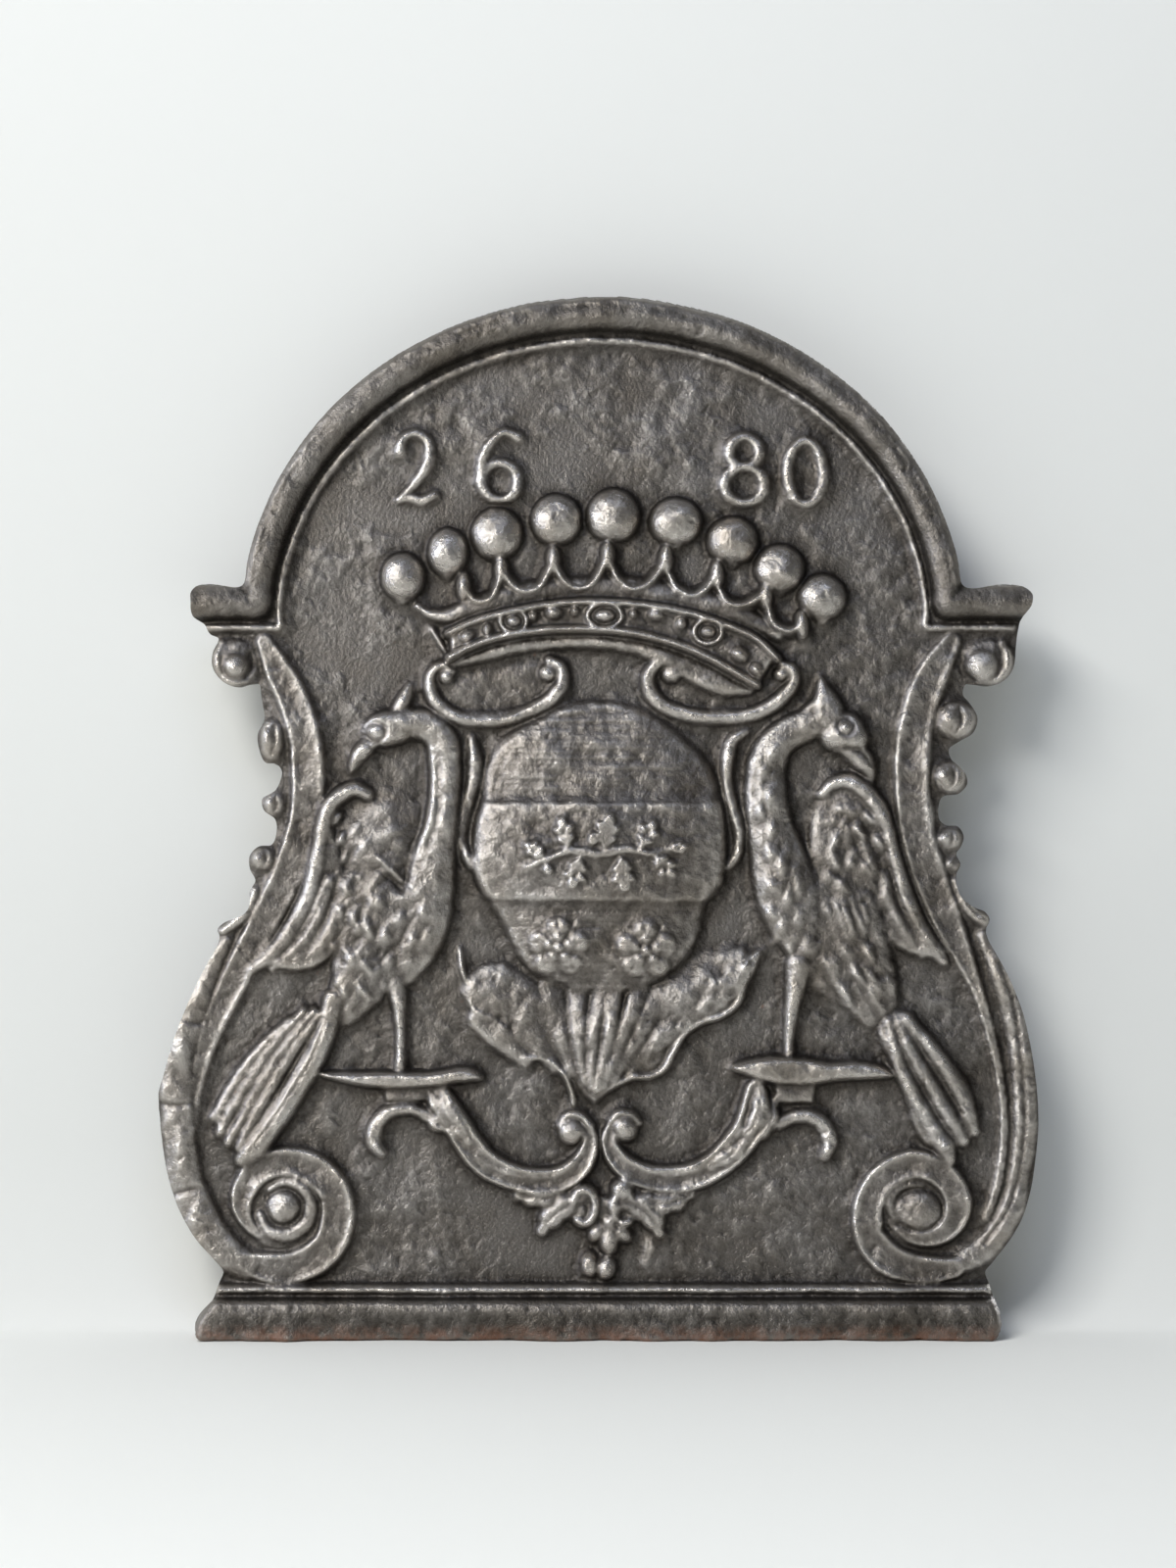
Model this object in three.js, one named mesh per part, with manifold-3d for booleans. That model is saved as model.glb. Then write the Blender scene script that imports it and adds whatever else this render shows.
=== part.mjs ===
// Cast-iron fireback: a thick board with an arched head, a plinth along the foot and
// relief carving applied to its front face.  Millimetres, +Z up, the front looks to -Y,
// the foot stands on Z = 0 and the origin is at the middle of the foot.
import * as THREE from 'three';
import Module from 'manifold-3d';

const wasm = await Module();
wasm.setup();

// ---------------------------------------------------------------- driving dimensions
const BOARD = 18;              // thickness of the plain board
const RELIEF = 27;             // highest carving above the board's front face
const DEPTH = BOARD + RELIEF;
const FRONT_Y = DEPTH / 2 - BOARD;
const GAP = 0.3;               // clearance between neighbouring carvings
const HALF_WIDTH = 332;        // widest point, at the foot of the side scrolls
const ARCH_X = 3;              // middle of the arched head
const ARCH_Z = 536.5;
const ARCH_A = 272.3;          // outer half-width and rise of the arch
const ARCH_B = 248.1;
const EAR_TOP = 568.3;
const ROLL_W = 12.6;           // half-width of the big roll round the head
const ROLL_H = 18;
const ROLL_IN_A = 10;          // how far the roll's crest lies inside the arch edge
const ROLL_IN_B = 12.8;
const FILLET_W = 3;
const FILLET_H = 6;
const FILLET_IN_A = 27.8;      // the fillet runs this far inside the arch's outer edge
const FILLET_IN_B = 32.6;
const FILLET_A = ARCH_A - FILLET_IN_A;
const FILLET_B = ARCH_B - FILLET_IN_B;
const FILLET_DROP = 0.5;
const FILLET_Z = ARCH_Z - FILLET_DROP;
const FILLET_END_LEFT = 39;    // ends of the mouldings under the ears, inside the widest line
const FILLET_END_RIGHT = 21;
const EAR_ROLL_IN = 26.8;
const EAR_ROLL_OUT = 7.4;
const PLINTH_TOP = 31;
const PLINTH_H = 20;
const RAIL_LOW = 33;           // thin rail above the plinth
const RAIL_TOP = 40.5;
const RAIL_H = 9;
const STRIP_H = 6;
const PEARL_H = 15;
const NUMERAL_H = 5;
const NUMERAL_PEN = 3.2;
const SHIELD_RIM = 9;
const SHIELD_CROWN = 19;
const BAND_LIFT = 3.5;         // the cross band stands this much proud of the shield
const BED = 7;                 // flat bed let into the shield under the cross band
const CHARGE_BED = 13;         // flat bed let into the cross band under its branch
const ROSE_BED = 6;            // flat bed let into the shield under each rose
const CORONET_H = 17;
const BERRY_R = 5;
const BRANCH_GROUND = 6.5;     // thickness of the thin ground under the branch
const ROSE_GROUND = 5;
const PLINTH_BEVEL = 2.5;
const RAIL_BEVEL = 2;
const SILHOUETTE_INSET = 0.8;  // the carvings stop this far inside the board's edge
const WELL_CLEAR = 3;          // room left round the cross band's bed
const SMOOTHING = 0.08;        // finest facet kept on a carving
const CLEAR = RELIEF + 5;      // a height above every carving, for cutting through

// ---------------------------------------------------------------- section outlines
// [across, height] from the right-hand foot over the top to the left-hand foot
const ROUND = [[-1, 0], [-0.8, 0.64], [-0.3, 0.97], [0.3, 0.97], [0.8, 0.64], [1, 0]];
const FLAT = [[-1, 0], [-0.88, 1], [0.88, 1], [1, 0]];
const DISHED = [[-1, 0], [-0.92, 1], [-0.72, 1], [-0.6, 0.7], [0.6, 0.7], [0.72, 1], [0.92, 1], [1, 0]];
const ARCH_ROLL = [[-1, 0], [-0.93, 0.35], [-0.7, 0.72], [-0.35, 0.95], [0, 1], [0.35, 0.9],
  [0.7, 0.66], [1, 0.5], [1, 0]];

let grow = 0;                  // widening used when a carving is cut clear of another

// ---------------------------------------------------------------- drawing tools
function spline(points, step = 6, closed = false) {
  const curve = new THREE.CatmullRomCurve3(
    points.map(p => new THREE.Vector3(p[0], p[1], 0)), closed, 'centripetal');
  const spans = closed ? points.length : points.length - 1;
  const out = [];
  for (let i = 0; i < spans; i++) {
    const a = points[i];
    const b = points[(i + 1) % points.length];
    const n = Math.max(1, Math.round(Math.hypot(b[0] - a[0], b[1] - a[1]) / step));
    for (let k = 0; k < n; k++) {
      const p = curve.getPoint((i + k / n) / spans);
      const f = k / n;
      out.push([p.x, p.y, ...a.slice(2).map((v, j) => v * (1 - f) + b[2 + j] * f)]);
    }
  }
  if (!closed) out.push(points[points.length - 1]);
  return out;
}

function arc(cx, cz, a, b, from, to, n) {
  const out = [];
  for (let i = 0; i <= n; i++) {
    const t = THREE.MathUtils.degToRad(from + (to - from) * i / n);
    out.push([cx + a * Math.cos(t), cz + b * Math.sin(t)]);
  }
  return out;
}

function solid(verts, tris) {
  const flat = new Float32Array(verts.flat());
  const mesh = new wasm.Mesh({ numProp: 3, vertProperties: flat, triVerts: new Uint32Array(tris.flat()) });
  return new wasm.Manifold(mesh);
}

function join(list) {
  return list.reduce((a, b) => a.add(b));
}

// triangles filling a loop; a hair's nudge keeps points that lie on one line
function faceOf(loop) {
  const nudge = 1e-4;
  return THREE.ShapeUtils.triangulateShape(loop.map(
    (p, i) => new THREE.Vector2(p[0] + nudge * Math.sin(7 * i), p[1] + nudge * Math.cos(5 * i))), []);
}

// loops of equal length, one above the other, closed by flat or domed ends
function loft(loops, closeTop = null) {
  const n = loops[0].length;
  const verts = loops.flat();
  const tris = [];
  for (let j = 0; j + 1 < loops.length; j++) {
    for (let i = 0; i < n; i++) {
      const k = (i + 1) % n;
      tris.push([j * n + i, j * n + k, (j + 1) * n + k], [j * n + i, (j + 1) * n + k, (j + 1) * n + i]);
    }
  }
  const face = faceOf(loops[0]);
  for (const t of face) tris.push([t[0], t[2], t[1]]);
  const top = (loops.length - 1) * n;
  if (closeTop) {
    verts.push(closeTop);
    for (let i = 0; i < n; i++) tris.push([top + i, top + (i + 1) % n, verts.length - 1]);
  } else {
    for (const t of face) tris.push(t.map(i => top + i));
  }
  return solid(verts, tris);
}

function counterClockwise(loop) {
  return THREE.ShapeUtils.area(loop.map(p => new THREE.Vector2(p[0],
  p[1]))) > 0 ? loop : [...loop].reverse();
}

function offset(loop, d) {
  const n = loop.length;
  return loop.map((p, i) => {
    const a = loop[(i + n - 1) % n];
    const b = loop[(i + 1) % n];
    const ux = b[0] - a[0];
    const uz = b[1] - a[1];
    const len = Math.hypot(ux, uz) || 1;
    return [p[0] + uz / len * d, p[1] - ux / len * d];
  });
}

// straight-sided block of the given outline between two depths
function block(outline, low, high) {
  const loop = offset(counterClockwise(outline), grow);
  return loft([loop.map(p => [p[0], p[1], low - grow]), loop.map(p => [p[0], p[1], high + grow])]);
}

// block with a bevelled front edge
function plaque(outline, height, bevel, low = 0) {
  const loop = offset(counterClockwise(outline), grow);
  const inner = offset(loop, -bevel);
  const h = height + grow;
  return loft([
    loop.map(p => [p[0], p[1], low]),
    loop.map(p => [p[0], p[1], h - bevel]),
    inner.map(p => [p[0], p[1], h]),
  ]);
}

// pillow over an outline that can be seen whole from its middle
function pillow(outline, middle, rim, crown, rings = 3, low = 0) {
  const loop = offset(counterClockwise(outline), grow);
  const loops = [loop.map(p => [p[0], p[1], low])];
  for (let j = 0; j < rings; j++) {
    const s = 1 - j / rings;
    const h = rim + (crown - rim) * Math.sqrt(1 - s * s) + grow;
    loops.push(loop.map(p => [middle[0] + (p[0] - middle[0]) * s, middle[1] + (p[1] - middle[1]) * s, h]));
  }
  return loft(loops, [middle[0], middle[1], crown + grow]);
}

// half-round boss, egg-shaped when the two radii differ
function boss(x, z, rx, rz, height, turn = 0, sides = 12, low = 0) {
  const rings = Math.max(rx, rz) > 12 ? 3 : 2;
  const loops = [];
  const c = Math.cos(THREE.MathUtils.degToRad(turn));
  const s = Math.sin(THREE.MathUtils.degToRad(turn));
  for (let j = 0; j < rings; j++) {
    const t = j / rings * Math.PI / 2;
    const loop = [];
    for (let i = 0; i < sides; i++) {
      const a = 2 * Math.PI * i / sides;
      const u = (rx + grow) * Math.cos(a) * Math.cos(t);
      const v = (rz + grow) * Math.sin(a) * Math.cos(t);
      loop.push([x + u * c - v * s, z + u * s + v * c, low + (height + grow) * Math.sin(t)]);
    }
    loops.push(loop);
  }
  return loft(loops, [x, z, low + height + grow]);
}

// carved ridge along a line of [x, z, half-width, height], mitred at every bend
function ridge(line, profile = ROUND, closed = false, low = 0) {
  const section = grow > 0 && profile === DISHED ? FLAT : profile;
  const n = line.length;
  const k = section.length;
  const verts = [];
  for (let i = 0; i < n; i++) {
    const [x, z, w, h] = line[i];
    const a = closed ? line[(i + n - 1) % n] : line[Math.max(0, i - 1)];
    const b = closed ? line[(i + 1) % n] : line[Math.min(n - 1, i + 1)];
    const inDir = new THREE.Vector2(x - a[0], z - a[1]).normalize();
    const outDir = new THREE.Vector2(b[0] - x, b[1] - z).normalize();
    if (inDir.length() === 0) inDir.copy(outDir);
    if (outDir.length() === 0) outDir.copy(inDir);
    const dir = inDir.clone().add(outDir).normalize();
    const stretch = 1 / Math.max(0.5, dir.dot(outDir));
    const along = closed ? 0 : grow * ((i === n - 1) - (i === 0));
    for (const [u, v] of section) {
      const across = u * (w + grow) * stretch;
      verts.push([x + dir.x * along - dir.y * across, z + dir.y * along + dir.x * across,
      low + v * (h + grow)]);
    }
  }
  const tris = [];
  const spans = closed ? n : n - 1;
  for (let i = 0; i < spans; i++) {
    const p = i * k;
    const q = ((i + 1) % n) * k;
    for (let j = 0; j < k; j++) {
      const m = (j + 1) % k;
      tris.push([p + j, q + j, q + m], [p + j, q + m, p + m]);
    }
  }
  if (!closed) {
    const face = faceOf(section);
    const last = (n - 1) * k;
    for (const t of face) {
      tris.push([t[0], t[2], t[1]]);
      tris.push(t.map(i => last + i));
    }
  }
  return solid(verts, tris);
}

function curveRidge(points, section = ROUND, step = 20) {
  return ridge(spline(points, step), section);
}

// ---------------------------------------------------------------- board outline
// the sides are drawn inward from the widest line, so that they move out and in with it:
// each row starts with its distance inside that line
const left = rows => rows.map(([inside, ...rest]) => [-HALF_WIDTH + inside, ...rest]);
const right = rows => rows.map(([inside, ...rest]) => [HALF_WIDTH - inside, ...rest]);
// smooth runs read upward on the left, over the head and down on the right
const LEFT_FOOT = left([[34, 0], [29.5, 4], [28.5, 11], [31, 18], [41, 29], [46, 42], [49, 51]]);
const LEFT_SCROLL = left([[49, 51], [44, 58], [28, 76], [14, 101], [5, 133], [1, 165],
  [0, 184], [4, 198], [12, 225], [22, 251], [34, 277], [45, 297], [46, 304]]);
const LEFT_LEAF = left([[46, 304], [44.5, 308], [49, 313], [65, 320], [69, 327], [69, 337],
  [73, 345]]);
const LEFT_HUSK_C = left([[73, 345], [69, 354], [69, 364], [76, 371], [85, 372], [89, 382],
  [88, 391]]);
const LEFT_HUSK_B = left([[88, 391], [79, 399], [78, 406], [88, 413], [92, 421], [93, 428]]);
const LEFT_HUSK_A = left([[93, 428], [89, 433], [81, 434], [76, 444], [75, 456], [80, 466],
  [78.5, 478], [76, 493]]);
const LEFT_SHOULDER = left([[76, 493], [68, 493], [60, 491], [48, 496], [41, 506], [41, 517],
  [45, 528]]);
const LEFT_EAR = left([[45, 528], [39, 531], [35, 538], [27, 544], [26, 555], [26, 562], [30, 567],
  [36, EAR_TOP]]);
const RIGHT_EAR = right([[22, EAR_TOP], [12, 566], [6.5, 561], [6.5, 554], [13, 543], [15.5, 533],
  [17, 520]]);
const RIGHT_SHOULDER = right([[17, 520], [19, 506], [25, 497], [36, 492], [48, 493], [55, 493]]);
const RIGHT_HUSK_A = right([[55, 493], [57, 486], [52, 479], [46, 467], [49, 457], [60, 450], [67.5, 444]]);
const RIGHT_HUSK_B = right([[67.5, 444], [66, 437], [56, 427], [54, 418], [60, 411], [73, 408],
  [75.5, 400], [74, 390], [70, 387]]);
const RIGHT_HUSK_C = right([[70, 387], [61, 386], [56.5, 379], [59, 370], [62, 366]]);
const RIGHT_HUSK_D = right([[62, 366], [59, 357], [62, 350], [62, 342], [58, 332], [49, 325]]);
const RIGHT_LEAF = right([[49, 325], [40, 321], [37, 316], [40, 308], [38, 300]]);
const RIGHT_SCROLL = right([[38, 300], [23, 272], [12, 245], [5, 213], [1, 185], [0, 160],
  [2, 136], [6, 110], [15, 85], [31, 62], [40, 50]]);
const RIGHT_FOOT = right([[40, 50], [35, 33], [30, 20], [29.5, 10], [32, 3], [36, 0]]);

const springing = THREE.MathUtils.radToDeg(Math.asin((EAR_TOP - ARCH_Z) / ARCH_B));
const headArc = arc(ARCH_X, ARCH_Z, ARCH_A, ARCH_B, 180 - springing, springing, 44);
const runs = [LEFT_FOOT, LEFT_SCROLL, LEFT_LEAF, LEFT_HUSK_C, LEFT_HUSK_B, LEFT_HUSK_A, LEFT_SHOULDER,
  LEFT_EAR];
const runsDown = [RIGHT_EAR, RIGHT_SHOULDER, RIGHT_HUSK_A, RIGHT_HUSK_B, RIGHT_HUSK_C, RIGHT_HUSK_D,
  RIGHT_LEAF,
  RIGHT_SCROLL, RIGHT_FOOT];
const drawn = run => spline(run, 9).slice(0, -1);
const silhouette = [
  ...runs.flatMap(drawn), LEFT_EAR.at(-1), ...headArc, ...runsDown.flatMap(drawn), RIGHT_FOOT.at(-1),
];

// ---------------------------------------------------------------- the carvings
// every builder returns a solid whose flat back lies on the board's front face
const scaled = (line, w, h) => line.map(p => [p[0], p[1], w, h]);
const crest = arc(ARCH_X, ARCH_Z, ARCH_A - ROLL_IN_A, ARCH_B - ROLL_IN_B, 176, 4, 40);
const EAR_ROLL_Z = EAR_TOP - ROLL_W - GAP;
const archMoulding = () => ridge(scaled([
  [-HALF_WIDTH + EAR_ROLL_IN, EAR_ROLL_Z],
  [crest[0][0], EAR_ROLL_Z], ...crest.slice(1, -1), [crest.at(-1)[0], EAR_ROLL_Z],
  [HALF_WIDTH - EAR_ROLL_OUT, EAR_ROLL_Z]], ROLL_W, ROLL_H), ARCH_ROLL);
const filletArc = arc(ARCH_X, ARCH_Z, FILLET_A, FILLET_B, 180, 0, 40);
const archFillet = () => ridge(scaled([
  [-HALF_WIDTH + FILLET_END_LEFT, FILLET_Z],
  [filletArc[0][0], FILLET_Z], ...filletArc.slice(1, -1), [filletArc.at(-1)[0], FILLET_Z],
  [HALF_WIDTH - FILLET_END_RIGHT, FILLET_Z]], FILLET_W, FILLET_H), FLAT);

function footLine(z, side) {
  const run = spline(side < 0 ? LEFT_FOOT : RIGHT_FOOT, 3);
  let best = run[0];
  for (const p of run) if (Math.abs(p[1] - z) < Math.abs(best[1] - z)) best = p;
  return best[0] - side;
}
const footLevels = [0, 4, 10, 17, 24, PLINTH_TOP];
const plinth = () => plaque([
  ...footLevels.map(z => [footLine(z, 1), z]),
  ...[...footLevels].reverse().map(z => [footLine(z, -1), z]),
], PLINTH_H, PLINTH_BEVEL);
const plinthRail = () => plaque([
  [footLine(RAIL_LOW, 1), RAIL_LOW], [footLine(RAIL_TOP, 1), RAIL_TOP],
  [footLine(RAIL_TOP, -1), RAIL_TOP], [footLine(RAIL_LOW, -1), RAIL_LOW],
], RAIL_H, RAIL_BEVEL);

const leftStrip = () => curveRidge(left([
  [80, 525, 6, 5], [88, 508, 10, STRIP_H], [98, 490, 12, STRIP_H], [106, 470, 12.8, STRIP_H],
  [111, 450, 13, STRIP_H], [113, 430, 13, STRIP_H], [113, 405, 13, STRIP_H], [109, 380, 13, STRIP_H],
  [101, 356, 13, STRIP_H], [89, 331, 12.5, STRIP_H], [77, 308, 12, STRIP_H],
  [66, 287, 11.5, STRIP_H],
  [55, 265, 11, STRIP_H], [45, 243, 9.5, STRIP_H], [37, 222, 7.5, STRIP_H], [31, 200, 5.5, STRIP_H],
  [27.5, 180, 4, 5], [26.5, 160, 3, 4]]), DISHED);
const rightStrip = () => curveRidge(right([
  [65, 526, 7, 5], [75, 510, 11, STRIP_H], [83, 494, 13, STRIP_H], [89, 476, 13.5, STRIP_H],
  [93.5, 456, 14, STRIP_H], [95.5, 434, 14, STRIP_H], [95.5, 412, 14, STRIP_H], [93, 390, 14, STRIP_H],
  [88, 368, 14, STRIP_H], [81, 346, 14, STRIP_H], [73, 325, 13, STRIP_H], [65, 306, 11, STRIP_H],
  [57, 288, 8, STRIP_H], [49, 269, 5.5, STRIP_H], [41, 246, 4, STRIP_H], [34, 220, 3.5, STRIP_H],
  [29, 195, 3, STRIP_H], [26, 165, 3, STRIP_H], [27, 140, 3, STRIP_H], [32, 112, 3, STRIP_H],
  [40, 90, 2.5, 4]]), DISHED);
const leftOuterLeaf = () => join([
  curveRidge(left([[51, 300, 4, 5], [42, 285, 7, 6], [32, 262, 9, 7], [23, 240, 11, 7],
  [18, 222, 11, 7],
    [13, 200, 12, 7], [13, 180, 12.5, 7], [14, 160, 13, 7], [16, 140, 13, 7], [20, 118, 13.5, 7],
    [28, 97, 14, 7], [39, 78, 13.5, 7], [52, 64, 12.5, 7], [68, 53, 10, 6]])),
  ...left([[36, 268, 6], [25, 236, 8], [15, 196, 8], [16, 150, 8], [23, 112, 8], [41, 76, 8]])
    .map(([x, z, r]) => boss(x, z, r, r * 1.6, 9, -18, 8)),
]);
const rightOuterLeaf = () => curveRidge(right([
  [43, 304, 4, 5], [33, 283, 7, 6], [25, 263, 8.5, 7], [19, 243, 9, 7], [15, 223, 9, 7],
  [12, 200, 9, 7], [10.5, 175, 9, 7], [10.5, 150, 9, 7], [13, 128, 9, 7], [17, 108, 9, 7], [25, 89, 9, 7],
  [36, 73, 9.5, 7], [49, 62, 9.5, 7], [64, 54, 8, 6]]));

const leftVolute = () => join([
  curveRidge(left([[68, 57, 8, 7], [82, 53, 12, 8], [100, 53, 13, 8], [118, 60, 13.5, 8],
  [131, 74, 13.5, 8], [135.5, 92, 13.5, 8], [133, 110, 13, 8], [122, 124, 12.5, 8], [106, 132, 12, 8],
    [89, 132, 11.5, 8], [74, 125, 11, 8], [65, 112, 10, 8], [63, 98, 7.5, 8], [68, 86, 5, 7],
    [76, 78, 3, 6]]), FLAT, 10),
  curveRidge(left([[77, 93, 4, 6], [82, 83, 5, 7], [94, 78, 6, 8], [107, 82, 6, 8], [114.5, 93, 6, 8],
    [114.5, 106, 5.5, 8], [106, 115.5, 5, 8], [94, 118, 4, 7], [84, 112, 3, 6]])),
  boss(-HALF_WIDTH + 94.5, 99.5, 13, 13, 9),
  plaque(arc(-HALF_WIDTH + 96, 98, 32, 32, 0, 350, 20), 3, 0.5),
]);
const rightVolute = () => join([
  curveRidge(right([[64, 53, 8, 7], [78, 51.5, 10.5, 8], [96, 53, 12, 8], [116, 62, 13, 8],
  [127.5, 78, 12.5, 8],
    [129, 97, 12, 8], [123, 114, 11.5, 8], [110, 126, 11.5, 8], [94, 131, 11.5, 8], [78, 127, 11, 8],
    [66, 116, 11, 8], [61, 101, 11, 8], [64, 88, 9.5, 8], [73, 79, 8, 8], [86, 75, 6, 7],
    [98, 77, 4.5, 7],
    [106, 82, 3, 6]]), FLAT, 10),
  curveRidge(right([[109, 90, 3, 5], [113, 100, 4.5, 7], [109, 110, 4.5, 7], [100, 115.5, 4, 7],
  [88, 116, 3, 6]]),
    ROUND, 7),
  boss(HALF_WIDTH - 91, 97, 18, 15, 9),
  plaque(arc(HALF_WIDTH - 94, 97, 32, 28, 0, 350, 20), 3, 0.5),
]);
const leftShoulder = () => join([
  boss(-HALF_WIDTH + 58, 509, 16.5, 18, 6), boss(-HALF_WIDTH + 58.5, 507, 9.5, 9.5, 12),
  curveRidge(left([[48, 524, 3, 6], [44.5, 513, 3.5, 8], [47, 502, 3.5, 8], [56, 494.5, 3, 8],
    [66, 495, 2.5, 6]])),
]);
const rightShoulder = () => join([
  boss(HALF_WIDTH - 39, 510, 20, 17, 6), boss(HALF_WIDTH - 42.5, 507.5, 12.5, 12.5, 12),
  curveRidge(right([[28, 524, 3, 6], [23.5, 513, 3.5, 8], [26, 502, 3.5, 8], [35, 495.5, 3, 7],
    [46, 495, 2.5, 6]])),
]);

const husk = (x, z, rx, rz, h) => () => join([
  boss(x, z, rx, rz, h, 0, 14), boss(x - rx * 0.35, z + rz * 0.1, rx * 0.45, rz * 0.6, h + 2, 0, 8),
]);
const leftSprig = () => curveRidge(left([[49, 307.5, 3.5, 6], [59, 314, 4.5, 7], [69, 325, 4, 6],
  [73, 338, 3, 5]]));
const rightSprig = () => curveRidge(right([[42, 315, 4, 7], [51, 321, 4.5, 7], [58, 332, 3.5, 6],
  [63.5, 345, 2.5, 5]]));

// plain numerals drawn in a unit box, then set out on the arch field
const GLYPHS = {
  two: [[[0.08, 0.7], [0.16, 0.9], [0.45, 1], [0.8, 0.87], [0.86, 0.66], [0.6, 0.36], [0.14, 0.06]],
    [[0.08, 0.04], [0.5, 0.04], [0.95, 0.06]]],
  six: [[[0.86, 0.95], [0.56, 0.96], [0.27, 0.78], [0.12, 0.5], [0.12, 0.3]]],
};
const RINGS = {
  two: [],
  six: [[0.5, 0.28, 0.38, 0.27]],
  eight: [[0.5, 0.75, 0.3, 0.23], [0.5, 0.27, 0.4, 0.27]],
  nought: [[0.5, 0.5, 0.4, 0.5]],
};
const numeral = (name, x, z, w, h) => () => join([
  ...(GLYPHS[name] || []).map(line => ridge(
    spline(line.map(([u, v]) => [x + u * w, z + v * h, NUMERAL_PEN, NUMERAL_H]), 8), ROUND)),
  ...RINGS[name].map(([u, v, ru, rv]) => ridge(
    scaled(arc(x + u * w, z + v * h, ru * w, rv * h, 0, 340, 17), NUMERAL_PEN, NUMERAL_H), ROUND, true)),
]);

const PEARLS = [
  [-147.5, 574, 17, 18.5], [-113.5, 592.5, 15.8, 19], [-77, 606.5, 20, 20.5], [-32, 617, 19.5, 20],
  [11, 620, 20.5, 21], [58, 615.5, 20, 18.5], [101, 601, 20, 18.5], [136.5, 580, 19.5, 19],
  [168.5, 558.5, 18.8, 18]];
const pearl = p => () => boss(p[0], p[1], p[2], p[3], PEARL_H, 0, 16);

const BAND_TOP = [[-113, 534], [-97, 541.5], [-67, 550], [-30, 556.5], [0, 557.5], [30, 555.5], [66, 549.5],
  [96, 540], [118, 530], [134, 515]];
const BAND_FOOT = [[-112, 510], [-101, 514], [-82, 523], [-60, 529.5], [-38, 532], [20, 532], [66, 527],
  [90, 520], [108, 511], [120, 501]];
const BAND_LIP = [[-110, 506], [-90, 508], [-60, 514], [-20, 518], [20, 518], [60, 513], [92, 505],
  [112, 500]];
const coronetBand = () => join([
  plaque([...spline(BAND_TOP, 30), ...spline([...BAND_FOOT].reverse(), 30)], CORONET_H, 2),
  plaque([...spline(BAND_FOOT, 30), ...spline([...BAND_LIP].reverse(), 30)], 9, 2),
  ridge(spline(BAND_TOP.map(p => [p[0], p[1] - 3, 2.4, CORONET_H + 2.5]), 30)),
  ridge(spline(BAND_FOOT.map(p => [p[0], p[1] + 3, 2.6, CORONET_H + 2.5]), 30)),
  ...[[-63.6, 540, 8, 7.5], [4.4, 545, 11, 8], [80.7, 533, 7, 6.5], [-34, 546, 8, 6], [-46.8, 544, 3.6, 4],
    [-17, 547, 3.6, 4], [36, 545, 3.6, 4], [65, 538, 6, 5.5], [-99, 530, 6, 6], [-88, 532, 4.5, 7],
    [22, 545, 4, 5], [104, 520, 6, 5]]
    .map(([x, z, rx, rz]) => boss(x, z, rx, rz, CORONET_H + 4, 0, 8)),
]);
const ARCADES = [
  [[-101, 567], [-93, 556], [-82, 557], [-76, 568], [-73, 585]],
  [[-72, 583], [-67, 570], [-56, 563], [-45, 566], [-38, 577], [-34, 595]],
  [[-33, 586], [-27, 572], [-15, 565], [-6, 568], [1, 577], [7, 597]],
  [[8, 588], [14, 573], [25, 565], [36, 568], [45, 577], [51, 595]],
  [[52, 578], [60, 564], [71, 560], [82, 566], [89, 583]],
  [[90, 566], [98, 554], [110, 553], [120, 558], [126, 566]],
  [[127, 553], [132, 538], [143, 533], [155, 540]],
];
const coronetArcade = () => join([
  ...ARCADES.map(u => curveRidge(u.map(([x, z], i) => [x, z, i === 0 || i === u.length - 1 ? 1.8 : 4.2,
  9]))),
  curveRidge([[-137, 552, 1.8, 6], [-127, 546, 2.5, 7], [-113, 545, 4, 8], [-100, 549, 4, 8],
  [-70, 557, 5, 8],
    [-30, 564, 5, 8], [25, 565, 5, 8], [70, 557, 5, 8], [105, 546, 5, 8], [135, 530, 4, 8]]),
]);

const leftStrap = () => join([
  curveRidge([[-112, 503, 2.5, 8], [-118, 507.5, 3, 9], [-126, 501, 3.5, 9], [-126.5, 490, 4, 9],
    [-122, 479, 5, 9], [-112, 470.5, 5.5, 9], [-98, 467, 5.5, 9], [-80, 466.5, 5.5, 9], [-64, 469, 5.5, 9],
    [-48, 475, 5, 9], [-34, 484, 5, 9], [-27, 495, 4.5, 9], [-28.5, 506, 3.5, 9], [-37, 511, 3, 8]]),
  plaque([[-118, 498], [-110, 476], [-80, 470], [-45, 478], [-30, 496], [-40, 509], [-80, 504],
  [-108, 500]], 4, 1),
  boss(-114, 499, 5, 5, 9, 0, 8),
  boss(-38, 501, 7, 6, 7, 0, 10),
]);
const rightStrap = () => join([
  curveRidge([[53, 511, 3, 8], [43, 508, 4, 9], [38, 499, 4.5, 9], [40, 488, 5, 9], [48, 478, 5.5, 9],
    [61, 472, 5.5, 9], [76, 469, 5.5, 9], [95, 468.5, 5.5, 9], [112, 470, 5.5, 9], [127, 475, 5.5, 9],
    [139, 484, 5, 9], [147, 495, 4, 9], [145, 505, 3.5, 8], [140, 507, 3, 7]]),
  plaque([[44, 494], [52, 480], [76, 473], [112, 474], [134, 484], [143, 500], [118, 497], [80, 505],
  [54, 508]],
    4, 1),
  boss(54, 500, 8, 7, 9, 0, 10),
  boss(140, 501, 6, 5.5, 9, 0, 8),
  boss(86, 494, 28, 9, 8, -8, 14),
]);

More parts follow.
